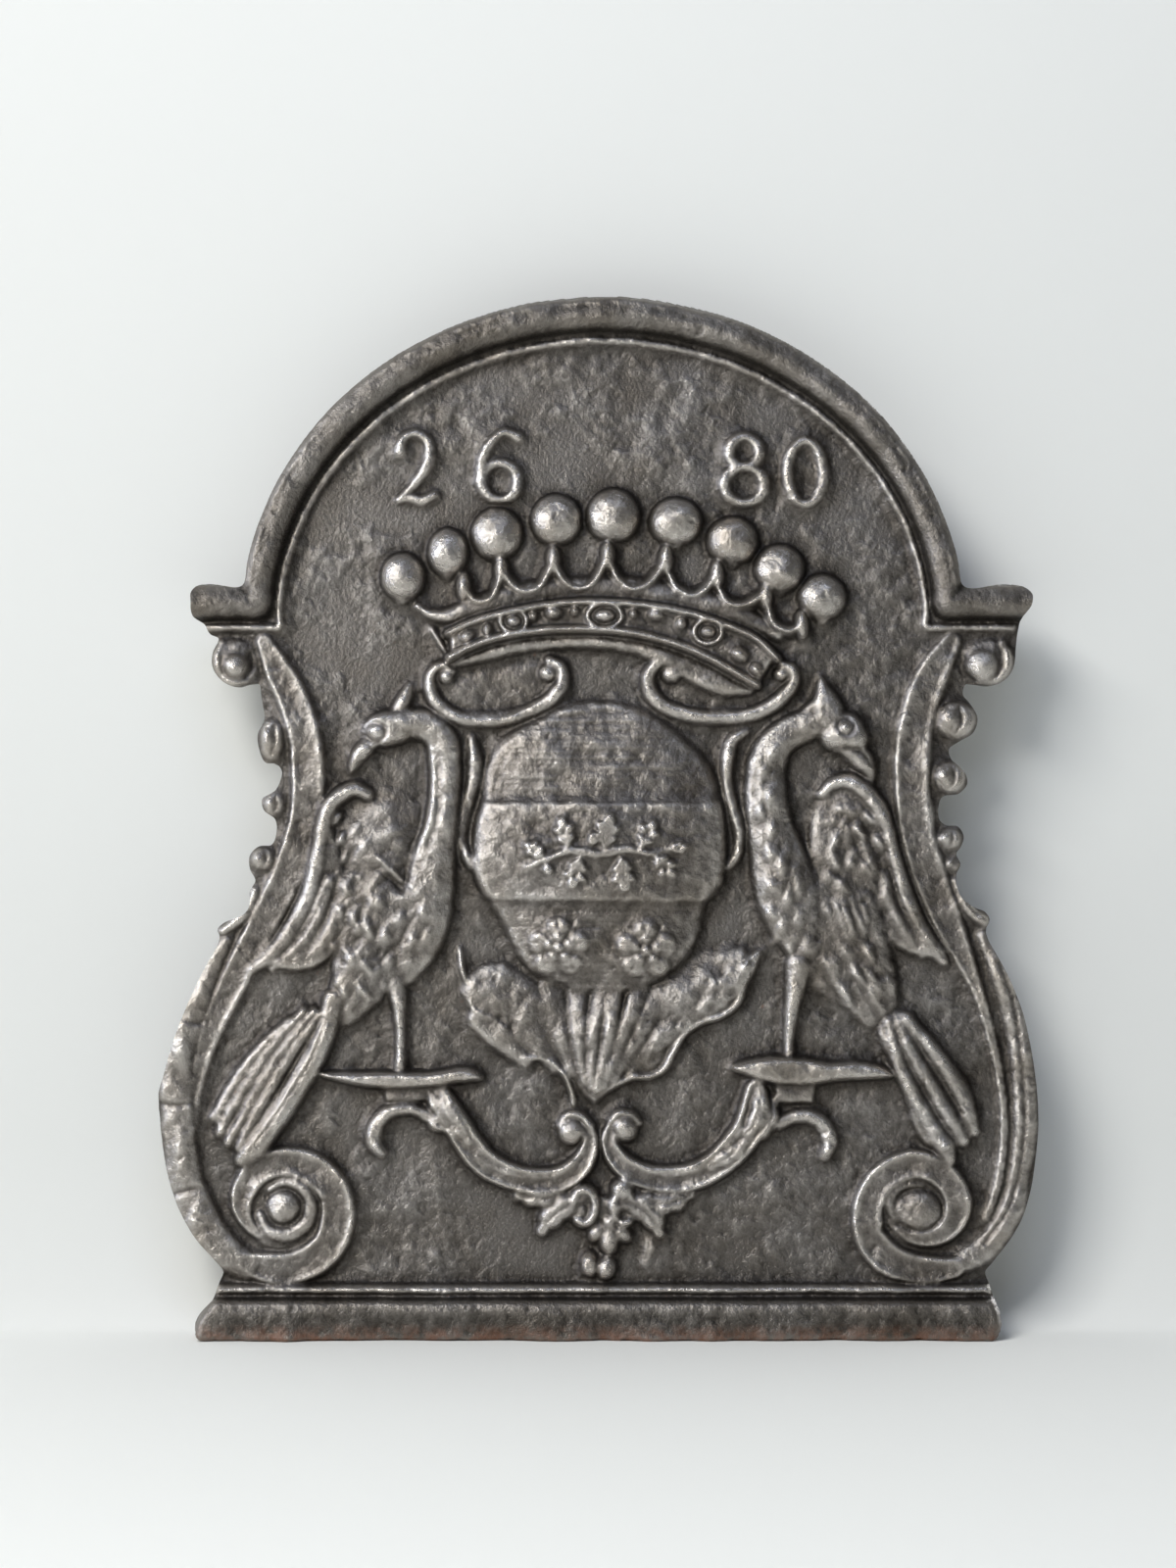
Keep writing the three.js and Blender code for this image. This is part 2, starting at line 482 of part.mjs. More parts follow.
// shield: a swelling oval plate with a cross band bedded in it and three applied charges
const SHIELD = spline([[-88, 405], [-85, 430], [-79, 451], [-52, 467], [-19, 481.5], [7, 481.5], [41, 469],
  [67, 451], [86, 430], [93, 405], [97, 366], [94, 343], [82, 330], [74, 300], [68, 284], [41, 266],
  [7, 258.5],
  [-32, 263.5], [-58, 281], [-72, 312], [-84, 331], [-93, 345], [-96, 370], [-93, 390]], 16, true);
const CROSS_BAND = [[-88, 405], [93, 404], [95, 389], [97, 364], [94.5, 343], [89.5, 332.5], [81, 329.5],
  [-80, 330.5], [-88, 333], [-94, 350], [-96, 370], [-93, 390]];
const SHIELD_MIDDLE = [0, 368];
const shieldBody = lift => pillow(SHIELD, SHIELD_MIDDLE, SHIELD_RIM + lift, SHIELD_CROWN + lift, 6);
const ROSES = [[-30, 295, 25], [36, 293, 25]];
const wellRound = (x, z, r) => arc(x, z, r, r, 0, 342, 19);
const lengthened = (loop, d) => offset(counterClockwise(loop), d);
const shield = () => {
  const body = shieldBody(0);
  if (grow > 0) return body;
  const bands = block(lengthened(CROSS_BAND, WELL_CLEAR), BED, CLEAR);
  const wells = ROSES.map(([x, z, r]) => block(wellRound(x, z, r + GAP), ROSE_BED, CLEAR));
  return [bands, ...wells].reduce((a, b) => a.subtract(b), body);
};
const BRANCH_WELL = arc(0, 366.5, 57, 29, 0, 350, 34);
const crossBand = () => {
  const piece = shieldBody(BAND_LIFT).intersect(block(CROSS_BAND, BED, CLEAR));
  if (grow > 0) return piece;
  return piece.subtract(block(lengthened(BRANCH_WELL, GAP), CHARGE_BED, CLEAR));
};
// oak branch lying along the cross band, on a thin oval ground let into the band
const LEAVES = [[-46, 372, 40], [-34, 384, 100], [-27, 352, -70], [-12, 384, 75], [-4, 350, -95],
  [12, 384, 110], [17, 350, -60], [33, 381, 60], [37, 354, -40], [49, 368, 10]];
const branch = () => {
  const leaf = ([x, z, turn]) => boss(x, z, 11, 5.5, 11, turn, 8, CHARGE_BED);
  const stem = spline([[-50, 360, 2.6, 10.5], [-25, 368, 3, 11.5], [0, 367, 3, 11.5], [25, 368, 3, 11.5],
    [48, 366, 2.2, 10.5]], 10);
  return join([
    block(BRANCH_WELL, CHARGE_BED, CHARGE_BED + BRANCH_GROUND),
    ridge(stem, ROUND, false, CHARGE_BED),
    ...LEAVES.map(leaf),
    boss(-20, 369, BERRY_R, BERRY_R, RELIEF - CHARGE_BED, 0, 10, CHARGE_BED),
    boss(22, 362, BERRY_R, BERRY_R, RELIEF - CHARGE_BED, 0, 8, CHARGE_BED),
  ]).intersect(block(BRANCH_WELL, CHARGE_BED, CLEAR));
};
const rose = ([x, z, r]) => () => {
  const petals = [];
  for (let i = 0; i < 5; i++) {
    const a = THREE.MathUtils.degToRad(90 + 72 * i);
    petals.push(boss(x + Math.cos(a) * r * 0.56, z + Math.sin(a) * r * 0.56, r * 0.42, r * 0.42, 13, 0,
    8, ROSE_BED));
  }
  return join([block(wellRound(x, z, r), ROSE_BED, ROSE_BED + ROSE_GROUND), ...petals,
    boss(x, z, r * 0.28, r * 0.28, 15, 0, 8, ROSE_BED)]);
};
const leftShieldScroll = () => curveRidge([[-95, 451, 3.5, 6], [-93, 438, 5.5, 8], [-94, 422, 5.5, 8],
  [-97, 406, 4.5, 7], [-101, 390, 4, 7], [-102, 374, 4, 7], [-98, 360, 4, 7]]);
const rightShieldScroll = () => curveRidge([[110, 457, 2.5, 5], [102, 452, 4, 7], [97.5, 440, 4.5, 8],
  [97, 422, 4.5, 8], [100, 404, 4, 7], [104.5, 388, 4, 7], [106, 374, 4, 7], [103, 362, 3.5, 7],
  [99, 356, 2.5, 6]]);

// the two birds that hold the shield, each of body masses with feathers over them
const leftBird = () => join([
  boss(-157, 460, 20, 13, 13, 12, 14),
  boss(-168, 457, 8, 8, 14, 0, 10),
  curveRidge([[-172, 450, 5, 9], [-179, 442, 5, 8], [-185.5, 433, 2.5, 6]]),
  curveRidge([[-150, 474, 4, 8], [-146, 481, 5, 8], [-143.5, 490, 2.5, 6]]),
  curveRidge([[-148, 464, 11, 12], [-131, 462, 11.5, 13], [-119, 452, 12, 13], [-116.5, 435, 11, 13],
    [-116, 415, 11, 13], [-118, 395, 12, 13], [-121, 375, 14, 13], [-124, 355, 16, 14], [-127, 335, 18, 15],
    [-131, 315, 20, 15], [-139, 297, 20, 14], [-148, 283, 16, 12]]),
  pillow(spline([[-143, 347], [-166, 362], [-182, 372], [-198, 372], [-205, 356], [-204, 332], [-203, 305],
    [-201, 275], [-203, 240], [-190, 238], [-172, 248], [-155, 262], [-140, 280], [-118, 305], [-120, 335],
    [-132, 352]], 14, true), [-165, 310], 6, 14, 4),
  curveRidge([[-174, 411, 4, 8], [-184, 414.5, 5, 10], [-195, 409, 5.5, 11], [-203.5, 399, 5.5, 11],
    [-208, 385, 5.5, 11], [-211, 365, 6, 11], [-215, 345, 7, 11], [-224, 322, 7, 11], [-236, 303, 6.5, 10],
    [-248, 288, 6, 9], [-260, 279, 3.5, 7]]),
  curveRidge([[-203, 345, 6, 10], [-210, 325, 6.5, 10], [-221, 304, 6, 9], [-233, 290, 5, 8],
    [-246, 279, 3, 6]]),
  curveRidge([[-194, 330, 6, 10], [-200, 312, 6.5, 10], [-209, 297, 6, 9], [-222, 286, 4, 7],
    [-232, 280, 3, 6]]),
  plaque([[-196, 372], [-204, 395], [-212, 350], [-226, 318], [-250, 284], [-232, 279], [-205, 290],
  [-192, 320]],
    5, 1),
  curveRidge([[-203, 250, 7, 11], [-206, 232, 7, 11], [-215, 212, 8.5, 12], [-230, 187, 9, 12],
    [-248, 160, 9, 12], [-262, 140, 8, 11], [-269, 134, 5, 9]]),
  curveRidge([[-214, 230, 4, 8], [-232, 211, 5, 9], [-252, 187, 5.5, 9], [-270, 164, 5, 8],
    [-281, 152, 3, 6]]),
  curveRidge([[-222, 234, 4, 7], [-242, 218, 5, 8], [-262, 196, 5.5, 8], [-278, 174, 5, 7],
    [-288, 160, 3, 5]]),
  plaque([[-208, 240], [-230, 232], [-262, 200], [-286, 160], [-262, 146], [-225, 195]], 4, 1),
  curveRidge([[-152, 275, 8, 10], [-150, 255, 5, 9], [-149.5, 235, 3.8, 8], [-149.5, 203, 3.5, 8]]),
  ...[[-190, 345, 9, 13, -20], [-176, 358, 8, 10, 30], [-168, 340, 10, 13, -10], [-185, 322, 9, 12, 20],
    [-160, 318, 10, 12, 0], [-188, 290, 10, 13, 20], [-190, 266, 10, 8, 10], [-168, 290, 9, 12, 0],
    [-172, 262, 9, 8, 20], [-146, 330, 9, 14, -20]]
    .map(([x, z, rx, rz, t]) => boss(x, z, rx, rz, 14.5, t, 8)),
]);
const rightBird = () => join([
  curveRidge([[168, 495, 2, 6], [170, 485, 5.5, 10], [174, 473, 9, 12]]),
  boss(183, 459, 16, 14, 14, -10, 14),
  boss(186, 461, 4.5, 4.5, 16, 0, 8),
  curveRidge([[188, 447, 8, 10], [197, 438, 6.5, 8], [203, 427, 4, 6], [205, 418, 2, 4]]),
  curveRidge([[176, 466, 10, 12], [160, 463, 11, 12], [146, 457, 12, 13], [135, 449, 13, 13],
    [128, 436, 14.5, 13], [126, 418, 15.5, 13], [127, 400, 16.5, 14], [130, 382, 18, 14],
    [135, 363, 21, 15], [142, 342, 25, 15], [149, 320, 24, 14], [157, 300, 18, 12]]),
  pillow(spline([[166, 412], [178, 421], [190, 423], [203, 415], [214, 400], [221, 383], [225, 362],
  [231, 340],
    [222, 312], [224, 262], [226, 246], [214, 233], [203, 234], [190, 245], [156, 268], [150, 295],
    [152, 330],
    [158, 365]], 14, true), [186, 330], 5, 12, 4),
  curveRidge([[171, 414, 4, 8], [179, 419, 5, 10], [189, 420, 6, 11], [200, 413, 6.5, 11],
  [210, 401, 6.5, 11],
    [217, 385, 6, 11], [221, 368, 6, 11], [226, 350, 6.5, 11], [232, 331, 7, 11], [240, 313, 6.5, 10],
    [250, 297, 6, 9], [260, 286, 3.5, 7]]),
  curveRidge([[214, 345, 5, 10], [221, 325, 5.5, 9], [231, 306, 5, 8], [243, 293, 3, 6]]),
  plaque([[222, 372], [234, 330], [262, 286], [240, 290], [224, 300], [214, 330]], 5, 1),
  curveRidge([[150, 282, 9, 10], [147, 258, 6.5, 9], [144, 235, 4.5, 8], [143.5, 216, 3.6, 8]]),
  curveRidge([[232, 240, 5, 9], [244, 226, 5.5, 10], [258, 208, 6, 10], [270, 189, 6, 10],
  [279, 170, 5.5, 9], [282, 155, 4.5, 7]]),
  curveRidge([[226, 238, 5, 10], [238, 212, 6, 11], [252, 188, 6.5, 11], [265, 166, 6.5, 11],
  [273, 150, 6, 9]],
    ROUND, 12),
  curveRidge([[219, 238, 5, 9], [227, 207, 6, 10], [240, 180, 6.5, 10], [252, 158, 7, 11],
  [262, 143, 7, 11], [265, 136, 4, 8]]),
  plaque([[214, 234], [226, 244], [250, 224], [282, 168], [270, 150], [250, 152], [224, 204]], 4, 1),
  ...[[210, 385, 10, 8, 20], [209, 364, 10, 9, -15], [205, 347, 8, 10, 0], [186, 366, 9, 12, 10],
    [196, 396, 11, 6, -25], [175, 345, 9, 11, 0], [188, 330, 9, 12, -8], [176, 302, 9, 14, -10],
    [195, 296, 9, 14, 0], [204, 270, 9, 14, 10], [182, 272, 8, 11, 20], [210, 248, 8, 9, 20]]
    .map(([x, z, rx, rz, t]) => boss(x, z, rx, rz, 14, t, 8)),
]);

const leftPerch = () => join([
  plaque([[-211, 199], [-180, 201], [-130, 201], [-90, 200.5], [-87, 197], [-104, 193], [-125, 189.5],
    [-150, 188], [-178, 190], [-200, 195]], 13, 2.5),
  plaque([[-164, 190], [-126, 190], [-129, 178], [-161, 178]], 7, 1),
]);
const rightPerch = () => join([
  plaque([[100, 205], [112, 210], [138, 213], [156, 211.5], [173, 208.5], [199, 208.5], [216, 204],
  [223, 198.5],
    [205, 195.5], [180, 194], [160, 191], [140, 191], [120, 195]], 13, 2.5),
  plaque([[131, 193], [165, 193], [162, 177], [134, 177]], 7, 1),
]);
const leftBracket = () => join([
  curveRidge([[-119, 190, 4, 9], [-115, 177, 8, 11], [-106, 161, 9.5, 12], [-97, 146, 10, 11],
  [-86, 133, 10, 10],
    [-72, 124.5, 10, 10], [-58, 120, 9.5, 10], [-44, 118.5, 9, 10], [-30, 120, 9, 10], [-17, 127, 8.5, 10],
    [-9.5, 138, 7, 10], [-6.5, 150, 5, 9], [-10, 161, 3, 7]], DISHED),
  boss(-20, 157, 9.5, 9.5, 11),
  curveRidge([[-29, 161, 2, 6], [-22, 167.5, 2.5, 7], [-13, 166, 2.5, 7], [-6, 158, 3, 7]]),
  curveRidge([[-114, 168, 5, 9], [-128, 168, 3.5, 8], [-142, 172, 4.5, 8], [-155, 171, 4.5, 8],
    [-162, 167, 5, 8], [-168, 158, 6, 8], [-169, 147, 6, 8], [-165, 140, 4, 7]]),
]);
const rightBracket = () => join([
  curveRidge([[10, 161, 3, 7], [8.5, 150, 5, 9], [13, 137, 7, 10], [24, 127, 9, 10], [40, 121, 9.5, 10],
    [57, 120, 10, 10], [74, 123, 10.5, 10], [90, 132, 11, 11], [103, 144, 12, 12], [113, 158, 12.5, 13],
    [118, 173, 11.5, 12], [118.5, 188, 8, 10]], DISHED),
  boss(19.5, 159, 9.5, 9.5, 11),
  curveRidge([[122, 160, 5, 9], [136, 162, 4, 8], [147, 167, 4.5, 8], [160, 167, 5, 8], [170, 160, 6, 8],
    [174, 148, 6, 8], [171, 138, 5, 8]]),
]);
// scallop shell that fills the space under the shield
const SHELL = spline([[-108, 290], [-106, 262], [-99, 243], [-80, 239], [-70, 216], [-52, 210], [-26, 204],
  [-13, 183], [2, 183.5], [14, 191], [28, 197], [43, 196], [51, 206], [60, 229], [75, 238], [90, 241],
  [108, 253], [110, 268], [119, 290], [70, 300], [0, 300], [-70, 300]], 14, true);
const PLEATS = [[-96, 248], [-74, 226], [-52, 214], [-32, 207], [-16, 192], [1, 188], [18, 195], [38, 200],
  [52, 216], [68, 236], [88, 244], [106, 262], [114, 284]];
const shell = () => join([
  pillow(SHELL, [4, 262], 3, 6, 3),
  ...PLEATS.map(([x, z]) => ridge(spline([[x * 0.45 + 2, 262 - (262 - z) * 0.4, 4, 6.5],
    [x * 0.75 + 1, 262 - (262 - z) * 0.72, 5, 7.5], [x, z, 3.5, 6]], 60))),
  curveRidge([[-110, 289, 2, 5], [-107, 272, 2.8, 7], [-104, 256, 2.8, 7], [-97, 244, 3, 7],
  [-83, 240, 3, 7], [-74, 231, 3, 7], [-70, 217, 2.5, 7]]),
]);
const pendant = () => join([
  curveRidge([[-58, 106, 3, 6], [-50, 101, 5, 8], [-38, 99, 5, 8], [-24, 104, 5, 8], [-8, 104, 5, 8],
    [12, 104, 6, 8], [30, 101, 6, 8], [48, 103, 6, 8], [63, 108, 4, 7]]),
  ridge(scaled(arc(-13, 99, 9, 9.5, 0, 330, 11), 3.4, 10), ROUND, true),
  boss(16, 106, 9, 14, 11, 0, 14),
  boss(-37, 91, 5, 8, 8, 0, 8),
  boss(41, 92, 9, 7, 8, 20, 12),
  boss(4, 88, 9, 12, 9, 0, 10),
  boss(4, 74, 8, 11, 11, 0, 14),
  boss(-6, 58, 7.2, 9, 10, 0, 10),
  boss(6, 56, 6.8, 9.5, 10, 0, 10),
]);

// ---------------------------------------------------------------- finish and assembly
const IRON = { color: 0x5a554e, roughness: 0.5, metalness: 0.85 };
const FIELD = { color: 0x4f4a44, roughness: 0.58, metalness: 0.8 };
const RUBBED = { color: 0x6b665e, roughness: 0.42, metalness: 0.9 };

// earlier carvings keep their whole shape; a later one is cut clear of those it meets
const carvings = [
  ...PEARLS.map((p, i) => [`pearl_${i + 1}`, pearl(p), RUBBED]),
  ['numeral_1', numeral('two', -153, 630, 30, 53), RUBBED],
  ['numeral_2', numeral('six', -93, 631, 37, 54), RUBBED],
  ['numeral_3', numeral('eight', 91, 629.5, 38, 52), RUBBED],
  ['numeral_4', numeral('nought', 139, 628, 34, 50), RUBBED],
  ['arch_moulding', archMoulding, IRON], ['arch_fillet', archFillet, RUBBED],
  ['plinth', plinth, IRON], ['plinth_rail', plinthRail, IRON],
  ['coronet_band', coronetBand, IRON], ['shield', shield, IRON],
  ['left_perch', leftPerch, IRON], ['right_perch', rightPerch, IRON],
  ['left_bird', leftBird, IRON], ['right_bird', rightBird, IRON],
  ['left_bracket', leftBracket, IRON], ['right_bracket', rightBracket, IRON],
  ['left_volute', leftVolute, IRON], ['right_volute', rightVolute, IRON],
  ['left_shoulder_scroll', leftShoulder, RUBBED], ['right_shoulder_scroll', rightShoulder, RUBBED],
  ['left_strip', leftStrip, IRON], ['right_strip', rightStrip, IRON],
  ['left_outer_leaf', leftOuterLeaf, IRON], ['right_outer_leaf', rightOuterLeaf, IRON],
  ['left_husk_1', husk(-HALF_WIDTH + 85.5, 451, 9, 15.5, 8), IRON],
  ['left_husk_2', husk(-HALF_WIDTH + 87, 402.5, 8, 8.5, 6), IRON],
  ['left_husk_3', husk(-HALF_WIDTH + 79, 361.5, 9, 8.5, 7), IRON],
  ['left_sprig', leftSprig, IRON], ['right_husk_1', husk(HALF_WIDTH - 63, 466, 15.5, 14, 9), IRON],
  ['right_husk_2', husk(HALF_WIDTH - 67.5, 423, 12, 12, 9), IRON],
  ['right_husk_3', husk(HALF_WIDTH - 68, 376.5, 9.5, 8, 7), IRON],
  ['right_husk_4', husk(HALF_WIDTH - 65.5, 357.5, 5, 5, 5), IRON],
  ['right_sprig', rightSprig, IRON], ['coronet_arcade', coronetArcade, IRON],
  ['left_strap_scroll', leftStrap, IRON], ['right_strap_scroll', rightStrap, IRON],
  ['left_shield_scroll', leftShieldScroll, IRON], ['right_shield_scroll', rightShieldScroll, IRON],
  ['shell', shell, IRON], ['pendant', pendant, IRON],
];
// pieces bedded in the shield are shaped by their own wells, not by the cutting above
const bedded = [
  ['cross_band', crossBand, IRON], ['oak_branch', branch, RUBBED],
  ['left_rose', rose(ROSES[0]), RUBBED], ['right_rose', rose(ROSES[1]), RUBBED],
];

const beyond = (a, b) => a.min[0] > b.max[0] || a.min[1] > b.max[1];
const apart = (a, b) => beyond(a, b) || beyond(b, a);
const largest = m => m.decompose().reduce((a, b) => (a.volume() >= b.volume() ? a : b));
const within = block(lengthened(silhouette, -SILHOUETTE_INSET), -1, CLEAR);
const roomFor = build => {
  grow = GAP;
  const m = build();
  grow = 0;
  return m;
};

function toMesh(name, m, finish) {
  const g = m.getMesh();
  const geometry = new THREE.BufferGeometry();
  const at = new Float32Array(g.numVert * 3);
  for (let i = 0; i < g.numVert; i++) {
    for (let j = 0; j < 3; j++) at[i * 3 + j] = g.vertProperties[i * g.numProp + j];
  }
  geometry.setAttribute('position', new THREE.BufferAttribute(at, 3));
  geometry.setIndex([...g.triVerts]);
  geometry.rotateX(Math.PI / 2);
  geometry.translate(0, FRONT_Y, 0);
  const mesh = new THREE.Mesh(geometry.toNonIndexed(), new THREE.MeshStandardMaterial(finish));
  mesh.geometry.computeVertexNormals();
  mesh.name = name;
  return mesh;
}

const fireback = new THREE.Group();
fireback.name = 'fireback';
fireback.add(toMesh('back_plate', block(silhouette, -BOARD, 0), FIELD));
const placed = [];
for (const [name, build, finish] of carvings) {
  let m = build().intersect(within);
  const box = m.boundingBox();
  for (const other of placed) {
    if (!apart(box, other.box)) m = m.subtract(other.room);
  }
  m = largest(m.simplify(SMOOTHING));
  const room = roomFor(build);
  placed.push({ room, box: room.boundingBox() });
  fireback.add(toMesh(name, m, finish));
}
for (const [name, build, finish] of bedded) {
  fireback.add(toMesh(name, largest(build().simplify(SMOOTHING)), finish));
}

export default fireback;
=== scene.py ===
import bpy
import math
import numpy as np
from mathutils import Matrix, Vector, geometry


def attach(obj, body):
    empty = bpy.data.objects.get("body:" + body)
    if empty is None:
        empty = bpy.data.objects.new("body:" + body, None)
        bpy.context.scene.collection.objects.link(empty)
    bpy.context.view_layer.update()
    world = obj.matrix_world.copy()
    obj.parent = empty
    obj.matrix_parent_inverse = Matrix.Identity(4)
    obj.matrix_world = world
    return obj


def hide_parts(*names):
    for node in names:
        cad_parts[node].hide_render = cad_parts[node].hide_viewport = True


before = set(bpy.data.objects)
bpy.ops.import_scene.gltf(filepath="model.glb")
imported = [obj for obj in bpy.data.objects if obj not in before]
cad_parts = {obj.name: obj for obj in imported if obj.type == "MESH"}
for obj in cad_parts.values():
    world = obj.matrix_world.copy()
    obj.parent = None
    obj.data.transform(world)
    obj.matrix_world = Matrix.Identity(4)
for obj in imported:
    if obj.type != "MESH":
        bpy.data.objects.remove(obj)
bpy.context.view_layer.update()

# ---------------------------------------------------------------- the board
# The plain board of the fireback: a slab of grey iron, poured in sand with all that stands
# on it. Its face is carved here as a height in millimetres above the board's front, on one
# fine grid, the way a pattern maker builds the relief up on a wooden board.
BOARD = 18.0        # thickness
FRONT = 4.5         # the board's front lies this far behind the middle of the whole depth
STEP = 1.25         # grid spacing
ABOVE = -9.0        # height that stands for nothing carved


def outline_of(mesh, y):
    """The edge loop of the flat rear face, in order, in millimetres."""
    flat = [f for f in mesh.polygons
            if all(abs(mesh.vertices[i].co.y - y) < 1e-6 for i in f.vertices)]
    key = {i: (round(mesh.vertices[i].co.x * 1000, 3), round(mesh.vertices[i].co.z * 1000, 3))
           for f in flat for i in f.vertices}
    edges = {}
    for f in flat:
        ring = [key[i] for i in f.vertices]
        for a, b in zip(ring, ring[1:] + ring[:1]):
            if (b, a) in edges:
                del edges[(b, a)]
            else:
                edges[(a, b)] = True
    follow = dict(edges.keys())
    start = min(follow)
    loop = [start]
    while follow[loop[-1]] != start:
        loop.append(follow[loop[-1]])
    return np.array(loop)


def linear(code):
    """An sRGB hex colour as the linear numbers that the shader takes."""
    parts = [int(code[i:i + 2], 16) / 255 for i in (1, 3, 5)]
    return [c / 12.92 if c <= 0.04045 else ((c + 0.055) / 1.055) ** 2.4
            for c in parts] + [1.0]


def add_node(tree, kind, settings=None, **inputs):
    """One shader node with its settings, values and links."""
    node = tree.nodes.new(kind)
    for key, value in (settings or {}).items():
        setattr(node, key, value)
    for key, value in inputs.items():
        socket = node.inputs[int(key[1:]) if key[1:].isdigit() else key.replace("_", " ")]
        if isinstance(value, bpy.types.NodeSocket):
            tree.links.new(value, socket)
        else:
            socket.default_value = value
    return node


def cast_iron(name, hollow, body, worn_and_lit, polish, grain):
    """Sand-cast iron, blackened and then black-leaded with a brush. The colour follows the relief:
    the hollows are a warm brown-black, partly soot and partly painted shade, the flats are
    graphite grey and the raised edges are paler and smoother, partly rubbed so by the brush and
    partly painted highlight. Grain is the depth in mm of the marks that the moulding sand left."""
    iron = bpy.data.materials.new(name)
    iron.use_nodes = True
    tree = iron.node_tree
    shader = tree.nodes["Principled BSDF"]
    place = add_node(tree, "ShaderNodeTexCoord").outputs["Object"]
    relief = add_node(tree, "ShaderNodeAttribute", {"attribute_name": "relief"}).outputs["Fac"]

    def noise(size, detail, roughness=0.5):
        """Clouds about size metres across."""
        return add_node(tree, "ShaderNodeTexNoise", Vector=place, Scale=1 / size, Detail=detail,
                        Roughness=roughness).outputs["Fac"]

    def reckon(operation, a, b, c=0.5, clamp=False):
        settings = {"operation": operation, "use_clamp": clamp}
        return add_node(tree, "ShaderNodeMath", settings, _0=a, _1=b, _2=c).outputs[0]

    def from_to(value, low, high, at_low, at_high):
        return add_node(tree, "ShaderNodeMapRange", Value=value, From_Min=low, From_Max=high,
                        To_Min=at_low, To_Max=at_high).outputs[0]

    def bump(height, strength, depth, over=None):
        """Depth in mm for a grain of 1."""
        under = {"Normal": over} if over else {}
        return add_node(tree, "ShaderNodeBump", Height=height, Strength=strength,
                        Distance=grain * depth / 1000, **under).outputs[0]

    stain = noise(0.045, 4.0)           # brown stains
    mottle = noise(0.009, 6.0, 0.62)    # uneven brushing
    sand = noise(0.0026, 3.0, 0.7)      # marks of the moulding sand
    pit = add_node(tree, "ShaderNodeTexVoronoi", {"feature": "F1"}, Vector=place,
                   Scale=1 / 0.0075).outputs["Distance"]

    # colour follows the relief, dark in the hollows as soot and painted shade and pale on what
    # stands up as rubbing and painted highlight, broken up by the brushing and the sand
    spread = reckon("MULTIPLY_ADD", mottle, 0.09, -0.205)
    lift = reckon("ADD", relief, reckon("MULTIPLY_ADD", sand, 0.32, spread))
    ramp = add_node(tree, "ShaderNodeValToRGB", Fac=lift)
    low, high = ramp.color_ramp.elements
    low.position, low.color = 0.2, linear(hollow)
    high.position, high.color = 0.82, linear(worn_and_lit)
    ramp.color_ramp.elements.new(0.5).color = linear(body)
    shade = add_node(tree, "ShaderNodeValToRGB", Fac=stain)
    low, high = shade.color_ramp.elements
    low.position, low.color = 0.3, linear("#d2cdc6")
    high.position, high.color = 0.7, linear("#ffffff")
    stained = add_node(tree, "ShaderNodeMix", {"data_type": "RGBA", "blend_type": "MULTIPLY"},
                       _0=1.0, _6=ramp.outputs["Color"], _7=shade.outputs["Color"])

    # light rust where damp got under the black lead: along the foot and in odd spots
    height = add_node(tree, "ShaderNodeSeparateXYZ", Vector=place).outputs["Z"]
    damp = from_to(height, 0.002, 0.014, 0.62, 0.0)
    broken = from_to(mottle, 0.36, 0.6, 0.0, 1.0)
    spots = from_to(mottle, 0.7, 0.78, 0.0, 0.35)
    rust = reckon("MAXIMUM", reckon("MULTIPLY", damp, broken), spots)
    rusted = add_node(tree, "ShaderNodeMix", {"data_type": "RGBA"}, _0=rust,
                      _6=stained.outputs[2], _7=linear("#7d4a2b"))
    tree.links.new(rusted.outputs[2], shader.inputs["Base Color"])
    gloss = from_to(lift, 0.2, 0.85, polish + 0.12, polish)
    rough = reckon("MULTIPLY_ADD", rust, 0.4, gloss, clamp=True)
    tree.links.new(rough, shader.inputs["Roughness"])
    metal = reckon("MULTIPLY_ADD", rust, -0.75, 0.82, clamp=True)
    tree.links.new(metal, shader.inputs["Metallic"])

    # brush and flow marks, then pits, then sand
    pits = from_to(pit, 0.0, 0.32, 0.0, 1.0)
    skin = bump(sand, 0.7, 1.3, bump(pits, 0.35, 0.8, bump(mottle, 0.6, 1.8)))
    tree.links.new(skin, shader.inputs["Normal"])
    return iron


def piece(node, finish):
    """A part of the casting, which stands for one node of the frame. Its surface is filled
    in when the finished face is cast."""
    obj = bpy.data.objects.new("cast_" + node, bpy.data.meshes.new("cast_" + node))
    bpy.context.scene.collection.objects.link(obj)
    obj.data.materials.append(finish)
    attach(obj, "root")
    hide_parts(node)
    pieces.append(obj)


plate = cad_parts["back_plate"].data
outline = outline_of(plate, max(v.co.y for v in plate.vertices))
xs = np.arange(-333.75, 334.0, STEP)
zs = np.arange(-1.25, 787.0, STEP)
X, Z = np.meshgrid(xs, zs)
face = np.zeros_like(X)             # the finished face so far
layer = np.full_like(X, ABOVE)      # the carving in hand
pieces = []
owner = np.zeros((len(zs) - 1, len(xs) - 1), int)
# the board keeps most soot: dull graphite flats, and hollows brown-black from soot and painted
# shade
field_iron = cast_iron("sooted sand-cast iron", "#37322d", "#77736f", "#b8b4af", 0.3, 1.0)
piece("back_plate", field_iron)

